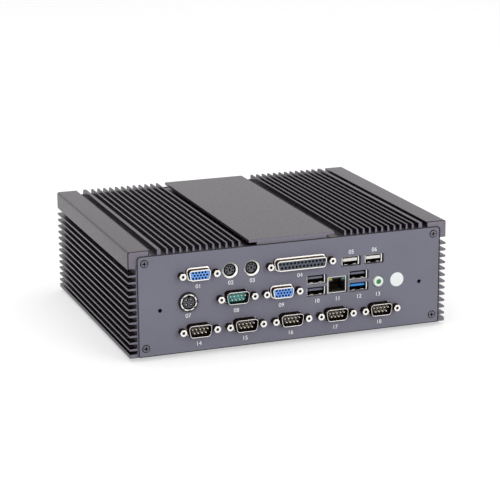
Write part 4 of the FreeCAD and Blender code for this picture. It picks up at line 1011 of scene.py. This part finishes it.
def dsub_shell(bm, port):
    """Drawn shell: a flange behind the panel and a D-shaped tube with a rounded foot and rim.

    The shell of a socket has a step round its foot that fills the panel's opening.
    """
    x, z, wall, rim, back = port.x, port.z, port.wall, port.rim, port.back
    wide = rectangle(x, z, port.spacing + D_FLANGE_EXTRA, port.flange, D_FLANGE_RADIUS)
    narrow = inset(wide, SHEET_EDGE)
    steps = ((narrow, BACK), (wide, BACK + SHEET_EDGE), (wide, back - SHEET_EDGE), (narrow, back))
    flange = [add_loop(bm, points, depth) for points, depth in steps]
    profile = []
    foot = BACK
    if port.rows:
        foot = FACE - D_STEP_OUT
        profile = [(-D_STEP, BACK), (-D_STEP, foot + SHEET_EDGE), (SHEET_EDGE - D_STEP, foot)]
    foot_middle = ROUND_MIDDLE * D_FOOT_ROUND
    rim_middle = ROUND_MIDDLE * D_RIM_ROUND
    profile += [
        (-D_FOOT_ROUND, foot),
        (-foot_middle, foot - foot_middle),
        (0.0, foot - D_FOOT_ROUND),
        (0.0, rim + D_RIM_ROUND),
        (rim_middle, rim + rim_middle),
        (D_RIM_ROUND, rim),
        (wall - SHEET_EDGE, rim),
        (wall, rim + SHEET_EDGE),
        (wall, back),
    ]
    tube = []
    for inwards, depth in profile:
        size = [length - 2 * inwards for length in port.size]
        tube.append(add_loop(bm, d_outline(x, z, size, port.radius - inwards), depth))
    closed_body(bm, [flange, tube])


def contact_places(port):
    """Centres of a socket's contacts."""
    places = []
    for count, rise, shift in port.rows:
        first = port.x + port.pitch * (shift - (count - 1) / 2)
        places += [(first + port.pitch * i, port.z + rise) for i in range(count)]
    return places


def dsub_insert(bm, port, low, high, holes=()):
    """Moulded insulator with its contact holes, and the block that stands on the board behind it."""
    x, z = port.x, port.z
    inwards = port.wall + D_INSERT_GAP
    size = [length - 2 * inwards for length in port.size]
    outline = d_outline(x, z, size, port.radius - inwards)
    slab(bm, outline, straight(holes), low.y, port.back, SHEET_EDGE)
    top = z + port.size[1] / 2
    body = rectangle(x, (low.z + top) / 2, port.spacing - D_BODY_MARGIN, top - low.z, MOULDED_EDGE)
    slab(bm, body, [], port.back, high.y, MOULDED_EDGE)


def shade_in_contact_holes(bm, places, radius, front, back):
    """Near-black sleeves of painted shade just below the mouths of contact holes."""
    profile = [(0.0, front), (radius, front), (radius, back), (0.0, back)]
    for place in places:
        turned(bm, profile, *place, SMALL_SIDES)


def serial_plugs():
    """Shells and insulators of the plugs."""
    plugs = [port for port in DSUB_PORTS if not port.rows]
    bm = bmesh.new()
    for port in plugs:
        dsub_shell(bm, port)
    fine("serial_port_shells", bm)
    for node, members in (("serial_port_1_insert", plugs[:1]), ("serial_port_inserts", plugs[1:])):
        bm = bmesh.new()
        for port, box in zip(members, solids(node)):
            dsub_insert(bm, port, *box)
        fine(node, bm)


def video_and_parallel_sockets():
    """Shell and insulator of each socket, with near-black painted shade in its contact holes."""
    for port in DSUB_PORTS:
        if not port.rows:
            continue
        bm = bmesh.new()
        dsub_shell(bm, port)
        fine(port.node, bm)
        node = port.node.replace("shell", "insert")
        low, high = span(node)
        places = contact_places(port)
        holes = [circle(*place, port.contact, SMALL_SIDES) for place in places]
        bm = bmesh.new()
        dsub_insert(bm, port, low, high, holes)
        fine(node, bm, look=port.look)
        # Painted shade: near-black sleeves just below the mouths of the contact holes
        bm = bmesh.new()
        shade_in_contact_holes(bm, places, port.contact, low.y + CONTACT_RECESS, port.back)
        painted_shade_piece(node.replace("insert", "contacts"), bm)


def serial_pins():
    """Round pins of the plugs."""
    bm = bmesh.new()
    for low, high in solids("serial_pins"):
        profile = [(radius, low.y + depth) for radius, depth in PIN_NOSE]
        turned(bm, profile + [(PIN_RADIUS, high.y), (0.0, high.y)], *middle(low, high), SMALL_SIDES)
    fine("serial_pins", bm)


def jackscrews():
    """Hexagonal screw locks with a chamfered head and a threaded bore."""
    bm = bmesh.new()
    turns = int(JACKSCREW_BORE_DEPTH / THREAD_PITCH)
    for x, z, front in JACKSCREWS:
        floor = front + JACKSCREW_BORE_DEPTH
        profile = [(0.0, floor + JACKSCREW_BORE), (JACKSCREW_BORE, floor)]
        for turn in range(turns, 0, -1):
            depth = front + THREAD_PITCH * turn
            profile.append((JACKSCREW_BORE + THREAD_DEPTH, depth - THREAD_PITCH * THREAD_ROOT))
            profile.append((JACKSCREW_BORE, depth - THREAD_PITCH * THREAD_CREST))
        profile += [(JACKSCREW_MOUTH, front), (JACKSCREW_FACE, front)]
        loops = rings(bm, profile, x, z, 6 * HEX_SIDE_POINTS)
        for depth in (front + JACKSCREW_CHAMFER, FACE):
            loops.append(add_loop(bm, hexagon(x, z, JACKSCREW_SIZE), depth))
        loops += rings(bm, [(0.0, FACE)], x, z)
        skin(bm, loops)
    fine("jackscrews", bm)


def mini_din(name):
    """Keyboard or mouse socket: a shield with a flared lip, and a core with contact holes and a key slot."""
    shield, insert = name + "_shield", name + "_insert"
    x, z = centre(shield)
    face = span(shield)[0].y
    radius = half_width(shield)
    well = BACK + MINI_DIN_WELL
    throat = radius - MINI_DIN_LIP
    collar = face + MINI_DIN_LIP_DEPTH
    profile = [(throat, well), (throat, collar), (radius - SHEET_EDGE, face)]
    bm = bmesh.new()
    turned(bm, profile + [(radius, face + SHEET_EDGE), (radius, well)], x, z, closed=True)
    fine(shield, bm)
    front = face + MINI_DIN_CORE_RECESS
    places = around(x, z, MINI_DIN_CONTACT_CIRCLE, [radians(angle) for angle in MINI_DIN_CONTACT_ANGLES])
    key = rectangle(x, z, *MINI_DIN_KEY, SHEET_EDGE)
    holes = [key] + [circle(*place, MINI_DIN_CONTACT, SMALL_SIDES) for place in places]
    bm = bmesh.new()
    slab(bm, circle(x, z, MINI_DIN_CORE), straight(holes), front, well, SHEET_EDGE)
    moulding(bm, insert, well)
    fine(insert, bm)
    # Painted shade: near-black fill in the contact holes and key slot, and a near-black liner on the throat
    bm = bmesh.new()
    shade_in_contact_holes(bm, places, MINI_DIN_CONTACT, front + CONTACT_RECESS, well)
    slab(bm, key, [], front + CONTACT_RECESS, well, SHEET_EDGE / 2)
    thin_ring(bm, x, z, throat, SHADE_LINER_WALL, collar, well, SHADE_LINER_EDGE)
    painted_shade_piece(name + "_contacts", bm)


def power_inlet():
    """Round power inlet: a black barrel, a notched shield lined with painted shade, and a core with four
    pins.
    """
    x, z = centre("power_inlet_shield")
    rim = span("power_inlet_housing")[0].y
    crest, shelf = [corner.y for corner in span("power_inlet_shield")]
    bm = bmesh.new()
    thin_ring(bm, x, z, INLET_RADIUS, INLET_WALL, rim, shelf, MOULDED_EDGE)
    moulding(bm, "power_inlet_housing", shelf)
    fine("power_inlet_housing", bm)
    half = INLET_CONTACT_SPACING / 2
    places = [(x + i * half, z + k * half) for i in (-1, 1) for k in (-1, 1)]
    holes = straight([circle(*place, INLET_CONTACT) for place in places])
    front = rim + INLET_CORE_RECESS
    bm = bmesh.new()
    slab(bm, keyed_circle(x, z, INLET_CORE, *INLET_KEY), holes, front, shelf, MOULDED_EDGE)
    add_piece("power_inlet_core", bm, "black_plastic", look="inlet_core")
    tip = front + INLET_PIN_RECESS
    profile = [(0.0, tip), (INLET_PIN, tip + INLET_PIN), (INLET_PIN, shelf), (0.0, shelf)]
    bm = bmesh.new()
    for place in places:
        turned(bm, profile, *place, SMALL_SIDES)
    add_piece("power_inlet_pins", bm, "nickel", look="bright_tin")
    outer = half_width("power_inlet_shield")
    inner = outer - INLET_SHIELD_WALL
    profile = [(inner, shelf), (inner, crest), (outer, crest), (outer, shelf)]
    bm = bmesh.new()
    loops = rings(bm, profile, x, z, SIDES_PER_NOTCH * INLET_NOTCHES)
    for ring in loops[1:3]:
        for i, vert in enumerate(ring):
            vert.co.y += INLET_NOTCH_DEPTH if i % SIDES_PER_NOTCH < SIDES_CUT else 0.0
    skin(bm, loops + loops[:1])
    fine("power_inlet_shield", bm)
    # Painted shade: a near-black liner inside the notched shield
    bm = bmesh.new()
    thin_ring(bm, x, z, inner, SHADE_LINER_WALL, crest + INLET_NOTCH_DEPTH, shelf, SHADE_LINER_EDGE)
    painted_shade_piece("power_inlet_shade_liner", bm)


def audio_jack():
    """Pale round audio socket with a green liner in its bore."""
    front, shelf = span("audio_jack")[0].y, BACK + AUDIO_SHELF
    mouth, floor = front + MOULDED_EDGE, front + AUDIO_BORE_DEPTH
    bore = AUDIO_BORE + AUDIO_LINER
    profile = [
        (bore, shelf),
        (bore, mouth),
        (bore + MOULDED_EDGE, front),
        (AUDIO_RADIUS - 2 * MOULDED_EDGE, front),
        (AUDIO_RADIUS, front + 2 * MOULDED_EDGE),
        (AUDIO_RADIUS, shelf),
    ]
    bm = bmesh.new()
    turned(bm, profile, *AUDIO_PLACE, closed=True)
    moulding(bm, "audio_jack", shelf)
    fine("audio_jack", bm)
    profile = [(0.0, floor), (AUDIO_BORE, floor), (AUDIO_BORE, mouth)]
    bm = bmesh.new()
    turned(bm, profile + [(bore, mouth), (bore, shelf), (0.0, shelf)], *AUDIO_PLACE)
    add_piece("audio_liner", bm, "lime_plastic", look="audio_green")


def data_socket(name, kind, inserts):
    """Flat data socket: a folded shell with springs, and a tongue with four contacts in each mouth.

    The inserts give the rises of the mouths whose tongues belong to each CAD node.
    """
    low, high = span(name + "_shell")
    x, z = centre(name + "_shell")
    front, rear = low.y + kind.recess, high.y - USB_REAR_BLOCK
    corner = USB_RADIUS - USB_WALL
    flared = [length + extra for length, extra in zip(kind.mouth, kind.flare)]
    mouths = {rise: rectangle(x, z + rise, *kind.mouth, corner) for rise in kind.rises}
    holes = [(rectangle(x, z + rise, *flared, corner), mouth) for rise, mouth in mouths.items()]
    outer = rectangle(x, z, high.x - low.x, high.z - low.z, USB_RADIUS)
    bm = bmesh.new()
    slab(bm, outer, holes, low.y, high.y, USB_LIP_EDGE, lip=USB_FLARE_DEPTH)
    for rise in mouths:
        floor = z + rise - kind.mouth[1] / 2
        path = [(low.y + along, floor + up) for along, up in SPRING_PATH]
        for shift in SPRING_X:
            strip(bm, path, x + shift, SPRING_WIDTH, SPRING_THICKNESS)
    fine(name + "_shell", bm)
    for node, rises in inserts.items():
        bm = bmesh.new()
        for rise in rises:
            tongue = rectangle(x, z + rise + USB_TONGUE_RISE, *kind.tongue, MOULDED_EDGE)
            slab(bm, tongue, [], front, rear, MOULDED_EDGE / 2)
            slab(bm, inset(mouths[rise], SHEET_EDGE), [], rear, high.y, SHEET_EDGE)
        # Tongues of black plastic take a grey look, which is painted highlight
        fine(node, bm, look="lit_tongue_grey" if SLOT_OF[node] == "black_plastic" else None)
    bm = bmesh.new()
    for rise in mouths:
        under = z + rise + USB_TONGUE_RISE - kind.tongue[1] / 2 - USB_CONTACT[1]
        for shift in USB_CONTACT_X:
            strip(bm, [(front + along, under) for along in USB_CONTACT_RUN], x + shift, *USB_CONTACT)
    add_piece(name + "_contacts", bm, "gold_contact")


def network_socket():
    """Network socket: a metal screen, a moulding with a latch notch, eight contacts and two lamps."""
    low, high = span("lan_shell")
    x, z = centre("lan_shell")
    width, height = high.x - low.x, high.z - low.z
    inner = rectangle(x, z, width - 2 * LAN_WALL, height - 2 * LAN_WALL, SHEET_EDGE)
    bm = bmesh.new()
    slab(bm, rectangle(x, z, width, height, USB_RADIUS / 2), straight([inner]), low.y, high.y, SHEET_EDGE)
    fine("lan_shell", bm)
    half = width / 2 - LAN_WALL - LAN_GAP
    rise = height / 2 - LAN_WALL - LAN_GAP
    lamp_low, lamp_high = span("lan_led_left")
    step = x - lamp_high.x - LAN_GAP
    shelf = lamp_low.z - LAN_GAP
    outer = mirrored(x, [(half, z - rise), (half, shelf), (step, shelf), (step, z + rise)])
    floor = low.z + LAN_WALL + LAN_PLUG_RISE
    roof = floor + LAN_PLUG[1]
    plug, latch = LAN_PLUG[0] / 2, LAN_LATCH[0] / 2
    cavity = mirrored(x, [(plug, floor), (plug, roof), (latch, roof), (latch, roof + LAN_LATCH[1])])
    wall = low.y + LAN_PLUG_DEPTH
    bm = bmesh.new()
    slab(bm, outer, straight([cavity]), low.y, wall, SHEET_EDGE)
    slab(bm, rectangle(x, z, 2 * half, 2 * rise, SHEET_EDGE), [], wall, high.y, SHEET_EDGE)
    fine("lan_insert", bm)
    bm = bmesh.new()
    path = [(low.y + along, floor + up) for along, up in LAN_CONTACT_PATH]
    for i in range(LAN_CONTACTS):
        shift = LAN_CONTACT_PITCH * (i - (LAN_CONTACTS - 1) / 2)
        strip(bm, path, x + shift, LAN_CONTACT_WIDTH, LAN_CONTACT_THICKNESS)
    add_piece("lan_contacts", bm, "gold_contact", look="dull_gold")
    for node in ("lan_led_left", "lan_led_right"):
        bm = bmesh.new()
        moulding(bm, node, span(node)[0].y)
        fine(node, bm)


def inspection_sticker():
    """Bare round sticker with a soft edge."""
    low, high = span("inspection_sticker")
    radius = half_width("inspection_sticker")
    lip = (high.y - low.y) / 2
    profile = [(0.0, low.y), (radius - lip, low.y), (radius, low.y + lip), (radius, high.y), (0.0, high.y)]
    bm = bmesh.new()
    turned(bm, profile, *centre("inspection_sticker"))
    fine("inspection_sticker", bm)


def power_button():
    """Power button: a rounded bezel on its barrel and a dished cap that slides in it."""
    place = centre("power_button_body")
    end, face = [corner.y for corner in span("power_button_body")]
    cap_back, cap_face = [corner.y for corner in span("power_button_cap")]
    well = cap_back - BUTTON_WELL_DEPTH
    profile = [(0.0, well), (BUTTON_WELL, well), (BUTTON_WELL, face - BUTTON_WELL_EDGE)]
    profile.append((BUTTON_WELL + BUTTON_WELL_EDGE, face))
    profile += [(BEZEL_RADIUS - inwards, face - depth) for inwards, depth in BEZEL_ROUND]
    profile += [(BEZEL_RADIUS, FRONT_FACE), (BARREL_RADIUS, FRONT_FACE), (BARREL_RADIUS, end), (0.0, end)]
    bm = bmesh.new()
    turned(bm, profile, *place)
    fine("power_button_body", bm)
    radius = half_width("power_button_cap")
    profile = []
    for i in range(BUTTON_DISH_STEPS + 1):
        share = i / BUTTON_DISH_STEPS
        profile.append(((radius - BUTTON_LIP) * share, cap_face - BUTTON_DISH * (1 - share * share)))
    profile += [(radius - inwards, cap_face - depth) for inwards, depth in BUTTON_ROUND]
    bm = bmesh.new()
    turned(bm, profile + [(radius, cap_back), (0.0, cap_back)], *place)
    fine("power_button_cap", bm, BUTTON)


def front_lamps():
    """Domed lamps in the front panel."""
    for node in ("power_led", "drive_led"):
        low, high = span(node)
        radius = half_width(node)
        angles = [pi / 2 * i / LAMP_STEPS for i in range(LAMP_STEPS + 1)]
        dome = [(radius * sin(a), FRONT_FACE + (high.y - FRONT_FACE) * cos(a)) for a in angles]
        bm = bmesh.new()
        turned(bm, dome + [(radius, low.y), (0.0, low.y)], *centre(node), SMALL_SIDES * 2)
        fine(node, bm)


def rubber_feet():
    """Domed rubber feet."""
    bm = bmesh.new()
    for low, high in solids("rubber_feet"):
        radius = (high.x - low.x) / 2
        dome = [(radius - inwards, low.z + rise) for inwards, rise in FOOT_ROUND]
        profile = [(0.0, low.z)] + dome + [(radius, high.z), (0.0, high.z)]
        turned(bm, profile, *plan_middle(low, high), plane=level)
    fine("rubber_feet", bm)


def labels():
    """Plain white numbers beside the ports, in place of legends."""
    places = [(centre(node)[0], z) for z, nodes in LABEL_ROWS for node in nodes]
    places += [(middle(*box)[0], LOWER_LABELS) for box in solids("serial_port_inserts")]
    for number, (x, z) in enumerate(places, start=1):
        text = bpy.data.curves.new(f"number_{number}", "FONT")
        text.body = f"{number:02d}"
        text.size = LABEL_SIZE
        text.offset = LABEL_WEIGHT
        text.extrude = PRINT_THICKNESS / 2
        text.align_x = "CENTER"
        text.align_y = "CENTER"
        writer = bpy.data.objects.new("writer", text)
        mesh = bpy.data.meshes.new_from_object(writer)
        bpy.data.objects.remove(writer)
        bm = bmesh.new()
        bm.from_mesh(mesh)
        bpy.data.meshes.remove(mesh)
        bmesh.ops.remove_doubles(bm, verts=bm.verts, dist=MERGE_DISTANCE)
        stand = Matrix.Translation((x, FACE - PRINT_THICKNESS / 2, z)) @ Matrix.Rotation(pi / 2, 4, "X")
        bmesh.ops.transform(bm, matrix=stand, verts=bm.verts)
        add_piece(f"number_{number}", bm, "white_label")


def seen_directly(tree):
    """One for camera, glossy and transmitted rays, zero for the rest."""
    path = tree.nodes.new("ShaderNodeLightPath").outputs
    first = maths(tree, "MAXIMUM", path["Is Camera Ray"], path["Is Glossy Ray"])
    return maths(tree, "MAXIMUM", first, path["Is Transmission Ray"])


def stage():
    """White floor that keeps a soft shadow."""
    half = FLOOR_SIZE / 2
    corners = [(-half, -half), (half, -half), (half, half), (-half, half)]
    mesh = bpy.data.meshes.new("floor")
    mesh.from_pydata([(x, y, FLOOR_LEVEL) for x, y in corners], [], [range(4)])
    floor = add_object("floor", mesh)
    material = bpy.data.materials.new("floor")
    material.use_nodes = True
    tree = material.node_tree
    shader = tree.nodes["Principled BSDF"].inputs
    shader["Base Color"].default_value = (FLOOR_WHITE, FLOOR_WHITE, FLOOR_WHITE, 1.0)
    shader["Roughness"].default_value = FLOOR_ROUGHNESS
    shader["Specular IOR Level"].default_value = 0.0
    shader["Emission Color"].default_value = WHITE
    glow = linked(tree, "ShaderNodeMapRange", Value=seen_directly(tree), To_Max=FLOOR_GLOW)
    tree.links.new(glow, shader["Emission Strength"])
    mesh.materials.append(material)


def lights():
    """White surroundings and three large soft lamps."""
    world = bpy.data.worlds.new("studio")
    bpy.context.scene.world = world
    world.use_nodes = True
    tree = world.node_tree
    background = tree.nodes["Background"].inputs
    background["Color"].default_value = WHITE
    strength = linked(tree, "ShaderNodeMapRange", Value=seen_directly(tree), To_Min=WORLD_FILL, To_Max=1.0)
    tree.links.new(strength, background["Strength"])
    for name, values in LAMPS.items():
        lamp = bpy.data.lights.new(name, "AREA")
        lamp.size = values["size"]
        lamp.energy = values["power"]
        holder = add_object(name, lamp)
        holder.location = values["place"]
        holder.rotation_mode = "QUATERNION"
        holder.rotation_quaternion = (-Vector(values["place"])).to_track_quat("-Z", "Y")


def camera():
    """Camera at the photograph's place."""
    lens = bpy.data.cameras.new("camera")
    lens.sensor_width = SENSOR_WIDTH
    lens.lens = FOCAL_PIXELS / IMAGE_PIXELS * SENSOR_WIDTH
    holder = add_object("camera", lens)
    az, el = CAMERA_AZIMUTH, CAMERA_ELEVATION
    ahead = Vector((sin(az) * cos(el), cos(az) * cos(el), -sin(el)))
    right = Vector((cos(az), -sin(az), 0.0))
    up = right.cross(ahead)
    turn = Matrix((right, up, -ahead)).transposed() @ Matrix.Rotation(CAMERA_ROLL, 3, "Z")
    holder.matrix_world = Matrix.Translation(Vector(CAMERA_PLACE) * MM) @ turn.to_4x4()
    bpy.context.scene.camera = holder


def inner_parts():
    """Finishes of the CAD nodes that show as they are."""
    for node, piece in frame["nodes"].items():
        for holder in piece.material_slots:
            holder.material = MATERIALS[SLOT_OF[node]]


inner_parts()
extrusions()
io_panel()
front_panel()
panel_shade_seals()
base_plate()
screws()
serial_plugs()
video_and_parallel_sockets()
serial_pins()
jackscrews()
mini_din("keyboard_port")
mini_din("mouse_port")
power_inlet()
audio_jack()
LOWER, UPPER = USB_STACK.rises
data_socket("usb_single_1", USB_SINGLE, {"usb_single_1_insert": USB_SINGLE.rises})
data_socket("usb_single_2", USB_SINGLE, {"usb_single_2_insert": USB_SINGLE.rises})
data_socket("usb_stack_1", USB_STACK, {"usb_stack_1_insert": (LOWER, UPPER)})
data_socket("usb_stack_2", USB_STACK, {
    "usb_stack_2_lower_insert": (LOWER,),
    "usb_stack_2_upper_insert": (UPPER,),
})
network_socket()
inspection_sticker()
power_button()
front_lamps()
rubber_feet()
labels()
stage()
lights()
camera()

bpy.context.scene.view_settings.view_transform = "Standard"
